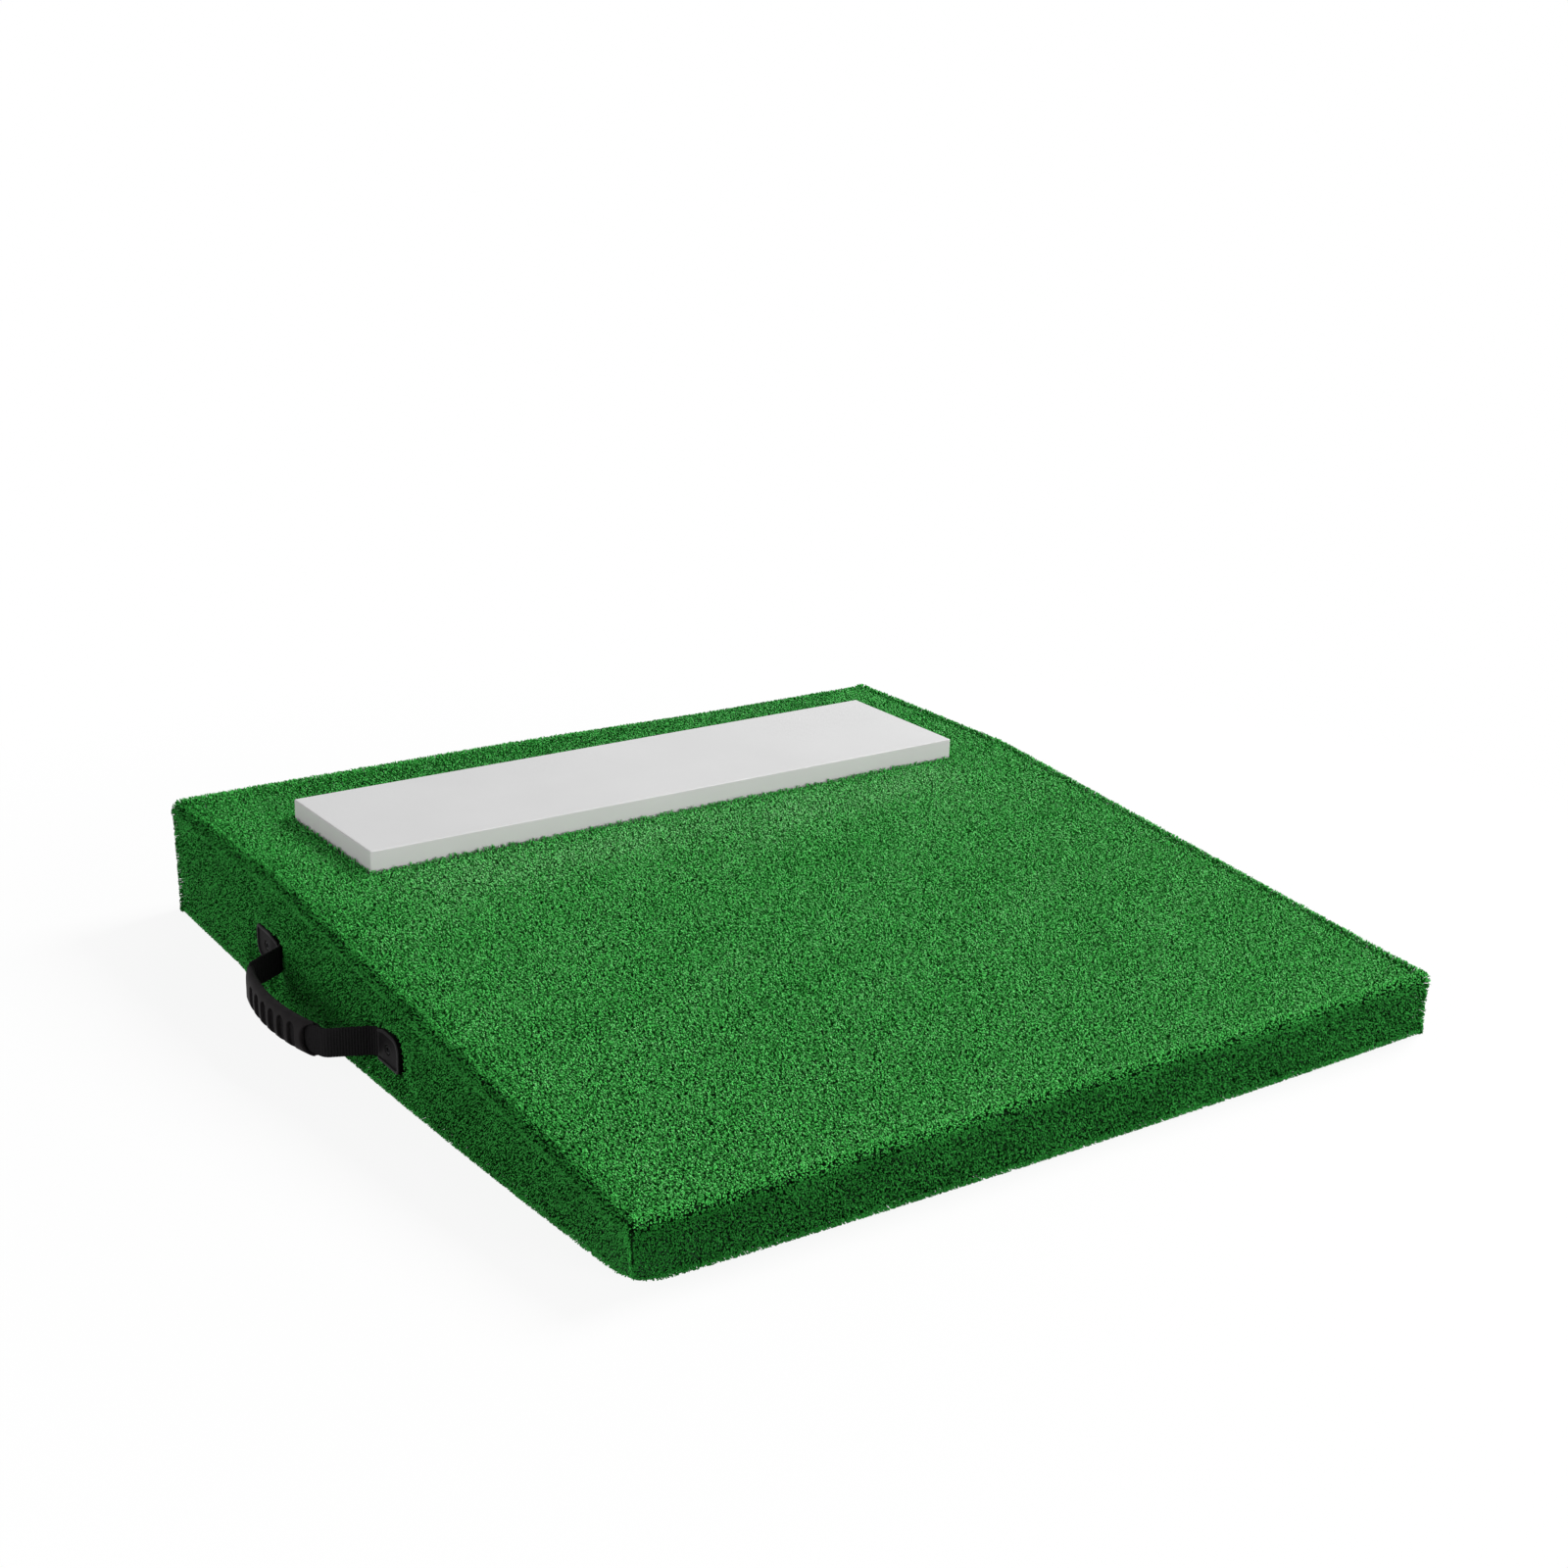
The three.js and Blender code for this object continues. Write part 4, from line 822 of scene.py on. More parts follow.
def room_under_strap(plan, z):
    """The longest pile where the strap bends away from the side: there it is pressed down."""
    along, up, left = on_left_side(plan, z)
    from_root = STRAP_ROOT_HALF_SPAN - np.abs(along)
    under = left & (from_root > 0) & (from_root < ROOT_RADIUS) & (np.abs(up) < STRAP_WIDTH / 2)
    return np.where(under, PRESSED_PILE, np.inf)


def under_cap(plan, z):
    """True where a tuft on the left side would stand under an end cap."""
    along, up, left = on_left_side(plan, z)
    up = up - CAP_LIFT
    radius = np.where(along * up > 0, CAP_SQUARE_CORNER, CAP_ROUND_CORNER)
    end = np.hypot(
        np.maximum(np.abs(along) - (CAP_MIDDLE + CAP_HALF_LENGTH - radius), 0),
        np.maximum(np.abs(up) - (CAP_HALF_HEIGHT - radius), 0),
    )
    beyond_mouth = np.abs(along) > CAP_MIDDLE - CAP_HALF_LENGTH - CAP_MARGIN
    return left & beyond_mouth & (end < radius + CAP_MARGIN)


def clear_of_rubber(lean, root):
    """Turns a lean that points at the rubber, close to it, to point along it."""
    beside = np.abs(root[:, :2] - RUBBER_MIDDLE[:2]) - RUBBER_HALF[:2]
    near = (beside.max(1) < PILE_HEIGHT) & (beside.max(1) > 0)
    away = np.sign(root[:, :2] - RUBBER_MIDDLE[:2]) * (beside == beside.max(1, keepdims=True))
    toward = np.minimum((lean[:, :2] * away).sum(1), 0) * near
    lean = lean.copy()
    lean[:, :2] -= toward[:, None] * away
    return lean


def turf_blades(name, root, normal, lean, height, shade, contrast):
    """The pile: each tuft is a few cut ends of yarn that leave one stitch.

    A blade is a narrow strip: a stalk that starts as a point at the backing and leans by its tuft's
    lean and its own, and above it a short crimped tip that bends over towards a random side. Tufts
    differ in height, so some stand proud and others lie in their shade; the map keeps the height above
    the backing, which the yarn turns into painted shade, darker the lower a point lies, and the tint.
    Contrast says how far both may differ."""
    count = len(root) * BLADES_PER_TUFT
    uneven = TUFT_UNEVENNESS * contrast
    tall = height * (1 + uneven * np.clip(rng.standard_normal(len(root)), *TUFT_EXTREMES))
    lean = lean + TUFT_LEAN * rng.standard_normal((len(root), 3))
    root, normal, lean = (np.repeat(array, BLADES_PER_TUFT, 0) for array in (root, normal, lean))
    tall = np.repeat(tall, BLADES_PER_TUFT) * (1 + BLADE_UNEVENNESS * rng.standard_normal(count))
    contrast = np.repeat(contrast, BLADES_PER_TUFT)
    shade = np.repeat(shade, BLADES_PER_TUFT) + TINT_SPREAD * contrast * rng.standard_normal(count)

    def tangent(vectors):
        return vectors - (vectors * normal).sum(1, keepdims=True) * normal

    start = root + BLADE_SPREAD * tangent(rng.standard_normal((count, 3)))
    lean = clear_of_rubber(tangent(lean + BLADE_LEAN * rng.standard_normal((count, 3))), root)
    heading = unit(tangent(rng.standard_normal((count, 3))))
    bend = clear_of_rubber(lean + CRIMP_LEAN * heading, root)
    stalk = np.maximum(tall - CRIMP_RISE * CRIMP_LENGTH, SHORTEST_STALK)[:, None]
    middle = start + stalk * unit(normal + lean)
    tip = middle + CRIMP_LENGTH * unit(normal + bend)
    across = np.cross(heading, normal)
    half = 0.5 * BLADE_WIDTH * rng.uniform(*BLADE_WIDTHS, count)[:, None] * across
    tip_half = TIP_WIDTH * half
    points = np.stack([start, middle - half, middle + half, tip + tip_half, tip - tip_half], 1)
    points[..., 2] = np.maximum(points[..., 2], LOWEST_TIP)
    first = 5 * np.arange(count)[:, None]
    triangles = np.concatenate([first + [0, 2, 1], first + [1, 2, 3], first + [1, 3, 4]], 1)
    piece = make_piece(name, points.reshape(-1, 3), [triangles.reshape(-1, 3)], yarn, smooth=False)

    shade = np.clip(shade, MAP_SIDE_MARGIN, 1 - MAP_SIDE_MARGIN)
    # painted shade: the height shares darken points that lie below the tallest tufts
    full = TALLEST_TUFT * np.repeat(height, BLADES_PER_TUFT)
    bend_share = 1 - contrast * np.clip(1 - stalk[:, 0] / full, 0, 1)
    tip_share = np.minimum(1 - contrast * np.clip(1 - tall / full, 0, 1), 1 - MAP_END_MARGIN)
    lower, upper = shade - MAP_BLADE, shade + MAP_BLADE
    map_u = np.stack([shade, lower, upper, upper, lower], 1)
    map_v = np.stack([np.full(count, MAP_END_MARGIN), bend_share, bend_share, tip_share, tip_share], 1)
    by_point = np.stack([map_u, map_v], -1).reshape(-1, 2)
    layer = piece.data.uv_layers.new(name="OFBake")
    layer.uv.foreach_set("vector", by_point[triangles.ravel()].astype(np.float32).ravel())
    return piece


def painted_light_strip(root):
    """1 in the middle of a strip of painted light before the rubber, 0 away from it: a bell curve of the
    way from the rubber's front edge, which fades out past the rubber's ends."""
    ahead = RUBBER_MIDDLE[1] - RUBBER_HALF[1] - root[:, 1]
    past_end = np.maximum(np.abs(root[:, 0] - RUBBER_MIDDLE[0]) - RUBBER_HALF[0] + PAINTED_LIGHT_REACH, 0)
    strip = np.exp(-(((ahead - PAINTED_LIGHT_PLACE) / PAINTED_LIGHT_REACH) ** 2) - (past_end / PAINTED_LIGHT_REACH) ** 2)
    return np.where(ahead > 0, strip, 0)


def turf_pile():
    """Every piece of the pile: bands across the top, and the four sides. The tints drift in soft clouds,
    with painted light in a pale strip before the rubber and painted shade along the top's left edge."""
    pieces = []
    root, normal, lean, height = top_tufts()
    shade = TOP_SHADE + TOP_TUFT_TINT * rng.standard_normal(len(root)) + CLOUD_TINT * clouds(root, CLOUD_SIZE)
    # painted shade: the top is painted darker along its left edge
    from_left = (root[:, 0] + HALF_WIDTH - TOP_EDGE_RADIUS) / LEFT_EDGE_PAINTED_SHADE_REACH
    left_painted_shade = LEFT_EDGE_PAINTED_SHADE * np.exp(-(from_left**2)) * (1 + EDGE_CLOUD * clouds(root, EDGE_CLOUD_SIZE))
    # painted light in the strip before the rubber, painted shade along the top's left edge
    shade = shade + PAINTED_LIGHT_TINT * painted_light_strip(root) - left_painted_shade
    edges = np.quantile(root[:, 1], np.linspace(0, 1, TOP_BANDS + 1))
    band = np.clip(np.searchsorted(edges, root[:, 1]) - 1, 0, TOP_BANDS - 1)
    contrast = np.ones(len(root))

    def add_pieces(group, words, *tufts):
        for number, word in enumerate(words):
            chosen = group == number
            pieces.append(turf_blades(f"turf_pile_{word}", *(array[chosen] for array in tufts)))

    top_words = [f"top_{number + 1}" for number in range(TOP_BANDS)]
    add_pieces(band, top_words, root, normal, lean, height, shade, contrast)
    root, normal, lean, height, shade, contrast, side = side_tufts()
    shade = shade + SIDE_TUFT_TINT * rng.standard_normal(len(root)) + CLOUD_TINT * clouds(root, CLOUD_SIZE)
    add_pieces(side, SIDES, root, normal, lean, height, shade, contrast)
    return pieces


# Pitching rubber

def pitching_slab():
    """The rubber: its plan outline carried up from the underside, round the lower edge, up the side,
    round the upper edge and in over the top. The wall has the paler finish of painted light up to half of the
    upper edge."""
    places = loop_places(*RUBBER_HALF[:2], RUBBER_CORNER_RADIUS, RUBBER_STEP, RUBBER_CORNER_STEPS)
    steps = 6
    quarter = np.linspace(0, np.pi / 2, steps)
    inset = RUBBER_EDGE_RADIUS * np.concatenate([1 - np.sin(quarter), 1 - np.cos(quarter)])
    lift = RUBBER_EDGE_RADIUS * np.concatenate([1 - np.cos(quarter), np.sin(quarter) - 1])
    height = np.repeat([rubber_low[2], rubber_high[2]], steps) + lift
    loops = []
    for drawn_in, z in zip(inset, height):
        half = RUBBER_HALF[:2] - drawn_in
        plan, _ = rounded_loop(places, *half, RUBBER_CORNER_RADIUS - drawn_in)
        loops.append(np.column_stack([plan + RUBBER_MIDDLE[:2], np.full(len(places), z)]))
    piece = make_piece("pitching_slab", *stacked_loops(np.array(loops)), white_rubber)
    wall_rows = steps + steps // 2
    # painted light: the walls get the paler, warmer finish
    second_finish(piece, wall_rubber_painted_light, np.ones(wall_rows * len(places), bool))
    return piece


# Handle

def handle_points(along, out, up):
    """Places in the object's frame of points given along, out from and up the mat's left side.
    The handle is not quite level: it sits a little low at its front end, and what stands out from the mat
    hangs down by the slack in the strap."""
    along, out, up = np.broadcast_arrays(along, out, up)
    slack = np.clip(out / STRAP_STANDOFF, 0, 1)
    up = up + HANDLE_TILT * along - HANDLE_SAG - STRAP_DROOP * slack
    return HANDLE_MIDDLE + np.stack([-out, along, up], -1)


def strap_line(count):
    """The strap's middle line as points (along, out), its outward normals and the length at each point.

    Half of it is a crown arc, a shoulder arc, a straight leg that touches both bends, a root arc and
    the flat end under the cap; the other half is its mirror image."""
    crown_angle = np.arcsin(CROWN_HALF_SPAN / CROWN_RADIUS)
    crown = np.array([0, STRAP_STANDOFF - CROWN_RADIUS])
    toward = np.array([np.sin(crown_angle), np.cos(crown_angle)])
    shoulder = crown + (CROWN_RADIUS - SHOULDER_RADIUS) * toward
    root = np.array([STRAP_ROOT_HALF_SPAN, STRAP_LIE + ROOT_RADIUS])
    across = root - shoulder
    leg_angle = np.arctan2(across[0], across[1])
    leg_angle -= np.arccos((SHOULDER_RADIUS + ROOT_RADIUS) / np.hypot(*across))
    leg = np.sqrt(across @ across - (SHOULDER_RADIUS + ROOT_RADIUS) ** 2)
    lengths = [
        CROWN_RADIUS * crown_angle, SHOULDER_RADIUS * (leg_angle - crown_angle), leg,
        ROOT_RADIUS * leg_angle, STRAP_END - STRAP_ROOT_HALF_SPAN,
    ]
    knots = np.concatenate([[0], np.cumsum(lengths)])
    travel = np.linspace(-knots[-1], knots[-1], count)
    far = np.abs(travel)
    angle = np.interp(far, knots, [0, crown_angle, leg_angle, leg_angle, 0, 0])
    fine = np.linspace(0, knots[-1], STRAP_LINE_FINENESS * count)
    heading = np.interp(fine, knots, [0, crown_angle, leg_angle, leg_angle, 0, 0])
    step = fine[1] - fine[0]
    along = np.concatenate([[0], np.cumsum(step * np.cos((heading[1:] + heading[:-1]) / 2))])
    out = np.concatenate([[0], np.cumsum(-step * np.sin((heading[1:] + heading[:-1]) / 2))])
    line = np.column_stack([
        np.sign(travel) * np.interp(far, fine, along), STRAP_STANDOFF + np.interp(far, fine, out)
    ])
    normal = np.column_stack([np.sign(travel) * np.sin(angle), np.cos(angle)])
    return line, normal, travel


def handle_strap():
    """The webbing: a flat section with round edges carried along the strap's line, with ribs that run
    across it as the woven picks do."""
    line, normal, travel = strap_line(STRAP_ROWS)
    half = STRAP_WIDTH / 2
    edge = STRAP_THICKNESS / 2
    turn = np.linspace(-np.pi / 2, np.pi / 2, STRAP_EDGE_STEPS)
    upper = np.linspace(half - edge, edge - half, STRAP_FACE_STEPS)[1:-1]
    face = np.full_like(upper, edge)
    up = np.concatenate([
        half - edge + edge * np.cos(turn), upper, edge - half - edge * np.cos(turn), -upper
    ])
    out = np.concatenate([edge * np.sin(turn), face, -edge * np.sin(turn), -face])
    rib = 1 - RIB_DEPTH / edge * np.cos(np.pi * travel / RIB_PITCH) ** 2
    offset = out[None, :] * rib[:, None]
    loops = handle_points(
        line[:, :1] + offset * normal[:, :1], line[:, 1:] + offset * normal[:, 1:], up[None, :]
    )
    return make_piece("webbing_strap", *stacked_loops(loops), webbing)


def grip_section(step):
    """The grip's section as out and up places, even steps apart, with the angle of each point: a bar whose
    sides swell like those of a power curve, flatter towards the mat."""
    def bar(angle, squareness, outer, inner, half):
        x, y = np.cos(angle), np.sin(angle)
        out = np.where(x > 0, outer, inner) * np.sign(x) * np.abs(x) ** (2 / squareness)
        return out, half * np.sign(y) * np.abs(y) ** (2 / squareness)

    half_strap = STRAP_WIDTH / 2 + GRIP_CHANNEL_GAP
    half_channel = STRAP_THICKNESS / 2 + GRIP_CHANNEL_GAP
    fine = np.linspace(0, 2 * np.pi, GRIP_SECTION_SAMPLES)
    out, up = bar(fine, GRIP_SQUARENESS, GRIP_OUTER_FACE, GRIP_INNER_FACE, GRIP_WIDTH / 2)
    length = np.concatenate([[0], np.cumsum(np.hypot(np.diff(out), np.diff(up)))])
    angle = np.interp(np.arange(0, length[-1], length[-1] / round(length[-1] / step)), length, fine)
    section = bar(angle, GRIP_SQUARENESS, GRIP_OUTER_FACE, GRIP_INNER_FACE, GRIP_WIDTH / 2)
    channel = bar(angle, GRIP_CHANNEL_SQUARENESS, half_channel, half_channel, half_strap)
    return section, channel


def on_crown(along, out, up):
    """Places of points given by their way along the crown's arc, out from the strap's middle, and up."""
    angle = along / CROWN_RADIUS
    radius = CROWN_RADIUS + out
    return handle_points(
        radius * np.sin(angle), STRAP_STANDOFF - CROWN_RADIUS + radius * np.cos(angle), up
    )


def handle_grip():
    """The moulded sleeve: an outer wall and a channel for the strap, both carried along the crown.

    Each line of the wall runs from end to end of the grip. The ends have round corners, and on the outer
    side they are drawn in by a round scoop and roll over to a soft lip. The slots are cut into the outer
    side as rounded bars, by their distance field, and the webbing shows in them."""
    (out, up), channel = grip_section(GRIP_STEP)
    end_radius = np.where(up > 0, GRIP_UPPER_END_RADIUS, GRIP_LOWER_END_RADIUS)
    past_corner = np.maximum(np.abs(up) - (GRIP_WIDTH / 2 - end_radius), 0)
    reach = GRIP_LENGTH / 2 - end_radius + np.sqrt(end_radius**2 - past_corner**2)
    scoop = GRIP_LENGTH / 2 + GRIP_MOUTH_RADIUS - GRIP_MOUTH_DEPTH
    scoop = scoop - np.sqrt(np.maximum(GRIP_MOUTH_RADIUS**2 - up**2, 0))
    reach = np.where(out > 0, np.minimum(reach, scoop), reach)
    reach = CROWN_RADIUS * np.arcsin(reach / CROWN_RADIUS)
    along = np.linspace(-1, 1, GRIP_ROWS)[:, None] * reach

    to_lip = np.clip(1 - (reach - np.abs(along)) / GRIP_LIP_RADIUS, 0, 1)
    rounded = GRIP_LIP_RADIUS * (1 - np.sqrt(1 - to_lip**2)) * (out > 0)
    last_slot = (GRIP_SLOT_COUNT - 1) / 2 * GRIP_SLOT_PITCH
    from_middle = along - GRIP_SLOTS_MIDDLE
    nearest = (np.round(from_middle / GRIP_SLOT_PITCH - 0.5) + 0.5) * GRIP_SLOT_PITCH
    from_slot_line = from_middle - np.clip(nearest, -last_slot, last_slot)
    straight = (GRIP_SLOT_LENGTH - GRIP_SLOT_WIDTH) / 2
    past_straight = np.maximum(np.abs(up + GRIP_SLOT_DROP) - straight, 0)
    from_slot = np.hypot(from_slot_line, past_straight) - GRIP_SLOT_WIDTH / 2
    depth = np.clip(out - GRIP_SLOT_FLOOR, 0, GRIP_SLOT_DEPTH)
    cut = np.clip(0.5 - from_slot / GRIP_SLOT_WALL, 0, 1) * depth

    wall = on_crown(along, out - cut - np.minimum(rounded, np.maximum(out - channel[0], 0)), up)
    inside = on_crown(along[::GRIP_INNER_ROWS_APART], *channel)
    rows, columns = wall.shape[:2]
    inner_rows = len(inside)
    points = np.concatenate([wall.reshape(-1, 3), inside.reshape(-1, 3)])
    outer = grid_faces(rows, columns, closed_columns=True)
    inner = grid_faces(inner_rows, columns, closed_columns=True, first=rows * columns)[:, ::-1]
    column = np.arange(columns)
    after = (column + 1) % columns
    start = np.stack([column, column + rows * columns, after + rows * columns, after], 1)
    last = (rows - 1) * columns
    inner_last = (rows + inner_rows - 1) * columns
    end = np.stack([after + last, after + inner_last, column + inner_last, column + last], 1)
    faces = [group[:, ::-1] for group in (outer, inner, start, end)]
    piece = make_piece("slotted_grip", points, faces, grip_rubber)
    sunk = (from_slot < 0) & (out > GRIP_SLOT_FLOOR)
    second_finish(piece, webbing, sunk.ravel()[faces[0]].all(1))
    return piece


def cap_surface(x, y):
    """Height of a cap's upper side over its plan: a flat face that slopes down to a thin lip at the mouth,
    and along the other edges a rim that stands above it."""
    radius = np.where(y > 0, CAP_ROUND_CORNER, CAP_SQUARE_CORNER)
    past_x = np.maximum(x - (CAP_HALF_LENGTH - radius), 0)
    past_y = np.maximum(np.abs(y) - (CAP_HALF_HEIGHT - radius), 0)
    from_edge = radius - np.hypot(past_x, past_y)
    rim = np.clip((CAP_RIM_WIDTH + CAP_RIM_SLANT - from_edge) / CAP_RIM_SLANT, 0, 1)
    slope = np.clip((x + CAP_HALF_LENGTH) / CAP_LIP_SLOPE, 0, 1)
    return CAP_LIP + (CAP_FACE - CAP_LIP) * slope + rim * (CAP_RISE - CAP_FACE)


def end_cap(word, side):
    """An end cap: its outline carried up the wall and round the edge, and then drawn in over the rim and
    the face to the round seat of the screw. It sits a little higher than the strap and narrows to it at
    the mouth. One outer corner is round and the other nearly square; the two caps are the same moulding,
    turned by half a turn. The rows of faces round the edge and on the rim are painted lighter, as a painted
    highlight."""
    places = loop_places(CAP_HALF_LENGTH, CAP_HALF_HEIGHT, CAP_MOUTH_RADIUS, CAP_STEP, CAP_CORNER_STEPS)
    radii = np.array([CAP_ROUND_CORNER, CAP_MOUTH_RADIUS, CAP_MOUTH_RADIUS, CAP_SQUARE_CORNER])
    edge = CAP_EDGE_RADIUS
    rim_steps = np.array([0.6, 0.97, 1 + 0.5 * CAP_RIM_SLANT / CAP_RIM_WIDTH, 1.25]) * CAP_RIM_WIDTH
    insets = np.concatenate([[0], edge * (1 - np.cos(np.linspace(0, np.pi / 2, 6))), rim_steps])
    rounding = edge - np.sqrt(edge**2 - np.maximum(edge - insets, 0) ** 2)
    loops = []
    for inset, drop in zip(insets, rounding):
        plan, _ = rounded_loop(
            places, CAP_HALF_LENGTH - inset, CAP_HALF_HEIGHT - inset,
            np.maximum(radii - inset, CAP_SMALLEST_RADIUS),
        )
        loops.append(np.column_stack([plan, cap_surface(*plan.T) - drop]))
    x, y = loops[0][:, :2].T
    mouth = (x < CAP_MOUTH_WALL - CAP_HALF_LENGTH) & (np.abs(y) < STRAP_WIDTH / 2)
    loops[0][:, 2] = np.where(mouth, CAP_STRAP_ROOF, CAP_BED)
    face = loops[-1][:, :2]
    seat = CAP_HOLE_RADIUS * unit(face)
    for share in np.linspace(0, 1, 9)[1:]:
        plan = face + share * (seat - face)
        loops.append(np.column_stack([plan, cap_surface(*plan.T)]))
    loops.append(np.column_stack([seat, np.full(len(places), SCREW_SEAT)]))
    x, y, out = np.moveaxis(np.array(loops), -1, 0)
    opened = smooth_step(np.clip((x + CAP_HALF_LENGTH) / CAP_NARROWING_REACH, 0, 1))
    up = -side * y * (1 - CAP_MOUTH_NARROWING * (1 - opened)) + CAP_LIFT * opened
    points = handle_points(side * (CAP_MIDDLE + x), out, up)
    piece = make_piece(f"end_cap_{word}", *stacked_loops(points), cap_plastic)
    row = np.arange(len(piece.data.polygons)) // len(places)
    # painted highlight: the rows round the edge and on the rim
    first_highlit, last_highlit = 2, 7
    second_finish(piece, cap_rim_painted_highlight, (row >= first_highlit) & (row <= last_highlit))
    return piece


def cap_screw(word, side):
    """A button-head screw: circles of a profile that runs up the shank, out under the head and over its
    dome, and a hexagon socket sunk in the middle."""
    angle = np.linspace(0, 2 * np.pi, SCREW_SIDES, endpoint=False)
    hexagon = SCREW_SOCKET_WIDTH / 2 / np.cos((angle + np.pi / 6) % (np.pi / 3) - np.pi / 6)
    full = np.ones_like(angle)
    shank = SCREW_SHANK_RADIUS * full
    head = SCREW_HEAD_RADIUS * full
    shank_end = HANDLE_MIDDLE[0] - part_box(f"handle_screw_{word}")[1][0]
    rise = CAP_FACE - SCREW_SEAT
    rings = [
        (shank, shank_end), (shank, SCREW_SEAT),
        *((width * head, SCREW_SEAT + height * rise) for width, height in SCREW_DOME),
        (1.08 * hexagon, CAP_FACE),
        (hexagon, CAP_FACE - SCREW_SOCKET_BEVEL), (hexagon, SCREW_SEAT + SCREW_SOCKET_BEVEL),
    ]
    loops = np.array([
        handle_points(
            side * (CAP_MIDDLE + radius * np.cos(angle)), out, CAP_LIFT - side * radius * np.sin(angle)
        )
        for radius, out in rings
    ])
    return make_piece(f"cap_screw_{word}", *stacked_loops(loops), black_oxide)


backing = turf_backing()
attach(backing, "mound")
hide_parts("turf_cover")
pile = turf_pile()
for piece in pile:
    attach(piece, "mound")

slab = pitching_slab()
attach(slab, "mound")
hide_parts("pitching_rubber")

strap = handle_strap()
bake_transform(strap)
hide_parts("handle_strap")

grip = handle_grip()
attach(grip, "handle")
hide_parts("handle_grip")

for word, side in (("front", -1), ("rear", 1)):
    cap = end_cap(word, side)
    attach(cap, "mound")
    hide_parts(f"handle_end_cap_{word}")
    screw = cap_screw(word, side)
    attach(screw, "mound")
    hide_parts(f"handle_screw_{word}")


# Floor, light and camera

def seen_directly(tree):
    """1 for a ray that comes from the camera, a gloss or a clear body, and 0 for one that carries light."""
    path = add_node(tree, "ShaderNodeLightPath")
    seen = path.outputs["Is Camera Ray"]
    for kind in ("Is Glossy Ray", "Is Transmission Ray"):
        either = add_node(tree, "ShaderNodeMath", {0: seen, 1: path.outputs[kind]}, operation="MAXIMUM")
        seen = either.outputs[0]
    return seen


def studio_floor():
    """A pale matt floor. Seen directly it is white, with a part of its own glow that leaves the object's
    shadow in it and is full farther away; it gives back less light than it shows."""
    material, tree, shader = new_material("pale_floor", Roughness=1.0, Specular_IOR_Level=0.0)
    seen = seen_directly(tree)
    colour = add_node(tree, "ShaderNodeValToRGB", {"Fac": seen}, [(0.0, "#b4b4b4"), (1.0, "#fcfcfc")])
    tree.links.new(colour.outputs["Color"], shader.inputs["Base Color"])
    place = add_node(tree, "ShaderNodeTexCoord")
    away = add_node(tree, "ShaderNodeVectorMath", {0: place.outputs["Object"]}, operation="LENGTH")
    far = add_node(
        tree, "ShaderNodeMapRange",
        {
            "Value": away.outputs["Value"], "From Min": GLOW_START, "From Max": GLOW_END,
            "To Min": NEAR_GLOW,
        },
    )
    share = add_node(tree, "ShaderNodeMath", {0: far.outputs[0], 1: seen}, operation="MULTIPLY")
    glow = add_node(tree, "ShaderNodeEmission", {"Strength": 1.0})
    blend = add_node(
        tree, "ShaderNodeMixShader",
        {0: share.outputs[0], 1: shader.outputs["BSDF"], 2: glow.outputs["Emission"]},
    )
    tree.links.new(blend.outputs[0], tree.nodes["Material Output"].inputs["Surface"])
    points = FLOOR_HALF_WIDTH * np.array([[-1, -1, 0], [1, -1, 0], [1, 1, 0], [-1, 1, 0]])
    floor = make_piece("studio_floor", points, [np.arange(4)[None]], material)


def stand(name, data, axes, place):
    """Puts a lamp or a camera at a place, turned by its axes to the right, up and back."""
    turn = np.eye(4)
    turn[:3, :3] = np.column_stack(axes)
    turn[:3, 3] = place
    made = bpy.data.objects.new(name, data)
    bpy.context.scene.collection.objects.link(made)
    made.matrix_world = Matrix(turn.tolist())
    return made


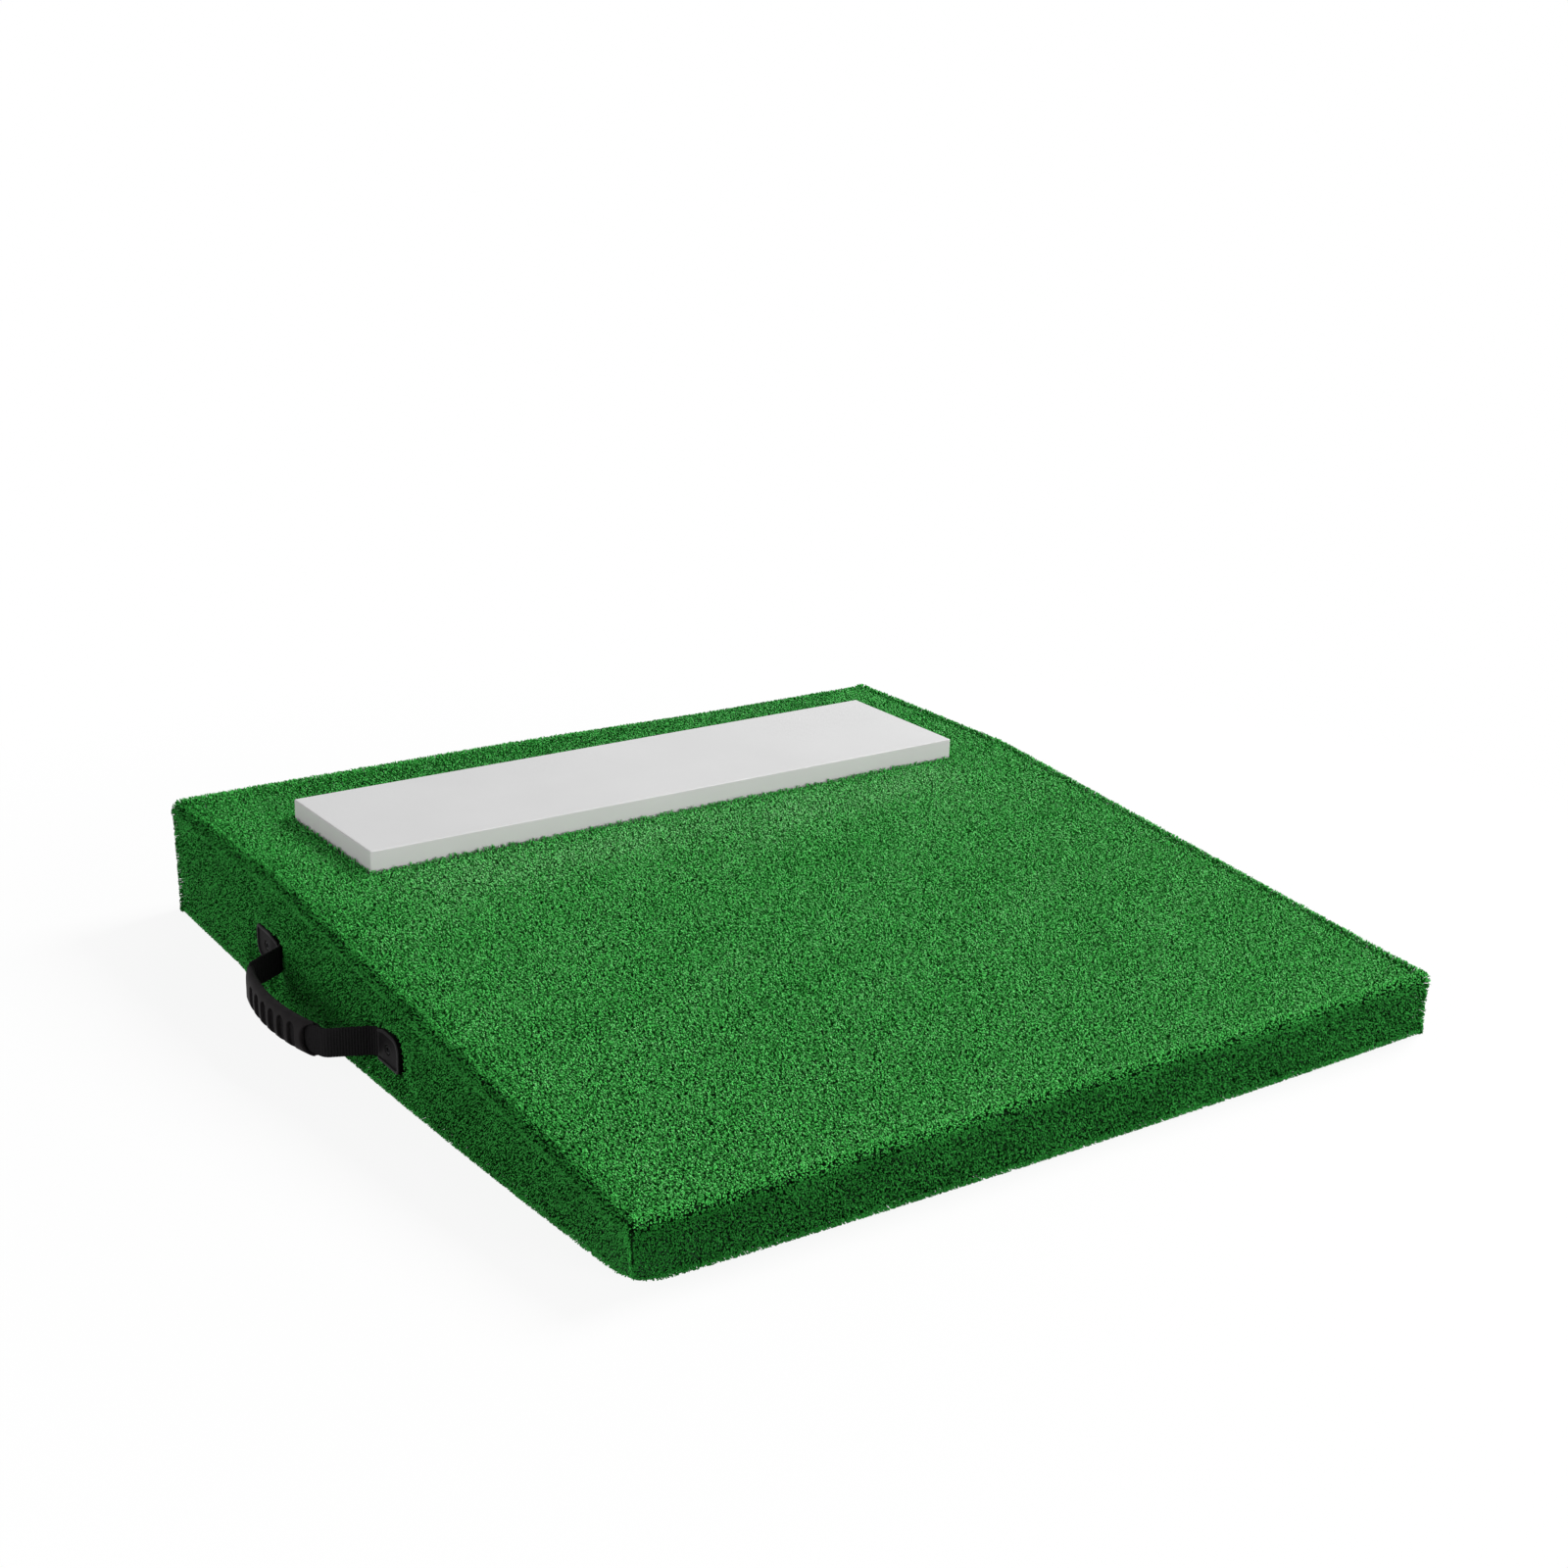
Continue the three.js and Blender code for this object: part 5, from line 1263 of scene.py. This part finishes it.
def soft_light(name, place, target, size, power):
    """A square soft box that faces its target."""
    lamp = bpy.data.lights.new(name, "AREA")
    lamp.size = size
    lamp.energy = power
    back = unit(np.array(place) - np.array(target))
    right = unit(np.cross([0, 1, 0], back))
    stand(name, lamp, [right, np.cross(back, right), back], place)


def studio_world(strength):
    """Even light from all round, which the camera sees as plain white."""
    world = bpy.data.worlds.new("studio")
    bpy.context.scene.world = world
    world.use_nodes = True
    tree = world.node_tree
    tree.nodes.clear()
    seen = seen_directly(tree)
    level = add_node(
        tree, "ShaderNodeMapRange", {"Value": seen, "To Min": strength, "To Max": 1.0}
    )
    shade = add_node(tree, "ShaderNodeBackground", {"Strength": level.outputs[0]})
    shade.inputs["Color"].default_value = (1, 1, 1, 1)
    add_node(tree, "ShaderNodeOutputWorld", {"Surface": shade.outputs[0]})


def photo_camera():
    """The camera's axes from its yaw, pitch and roll."""
    forward = np.array([
        np.sin(CAMERA_YAW) * np.cos(CAMERA_PITCH),
        np.cos(CAMERA_YAW) * np.cos(CAMERA_PITCH),
        -np.sin(CAMERA_PITCH),
    ])
    level = np.array([np.cos(CAMERA_YAW), -np.sin(CAMERA_YAW), 0.0])
    down = np.cross(forward, level)
    right = level * np.cos(CAMERA_ROLL) + down * np.sin(CAMERA_ROLL)
    below = down * np.cos(CAMERA_ROLL) - level * np.sin(CAMERA_ROLL)
    data = bpy.data.cameras.new("photo_camera")
    data.sensor_width = SENSOR_WIDTH
    data.lens = FOCAL_PIXELS / FRAME_PIXELS * SENSOR_WIDTH
    bpy.context.scene.camera = stand("photo_camera", data, [right, -below, -forward], CAMERA_PLACE)


studio_floor()
studio_world(0.1)
mat_middle = (0, 0, 0.05)
soft_light("key_right", (4.7, 0.7, 3.75), mat_middle, 2.4, 434)
soft_light("fill_front", (0.3, -2.6, 0.4), mat_middle, 1.3, 49)
soft_light("fill_left", (-2.6, 0.2, 0.6), mat_middle, 2.0, 31)
photo_camera()
bpy.context.scene.view_settings.view_transform = "Standard"
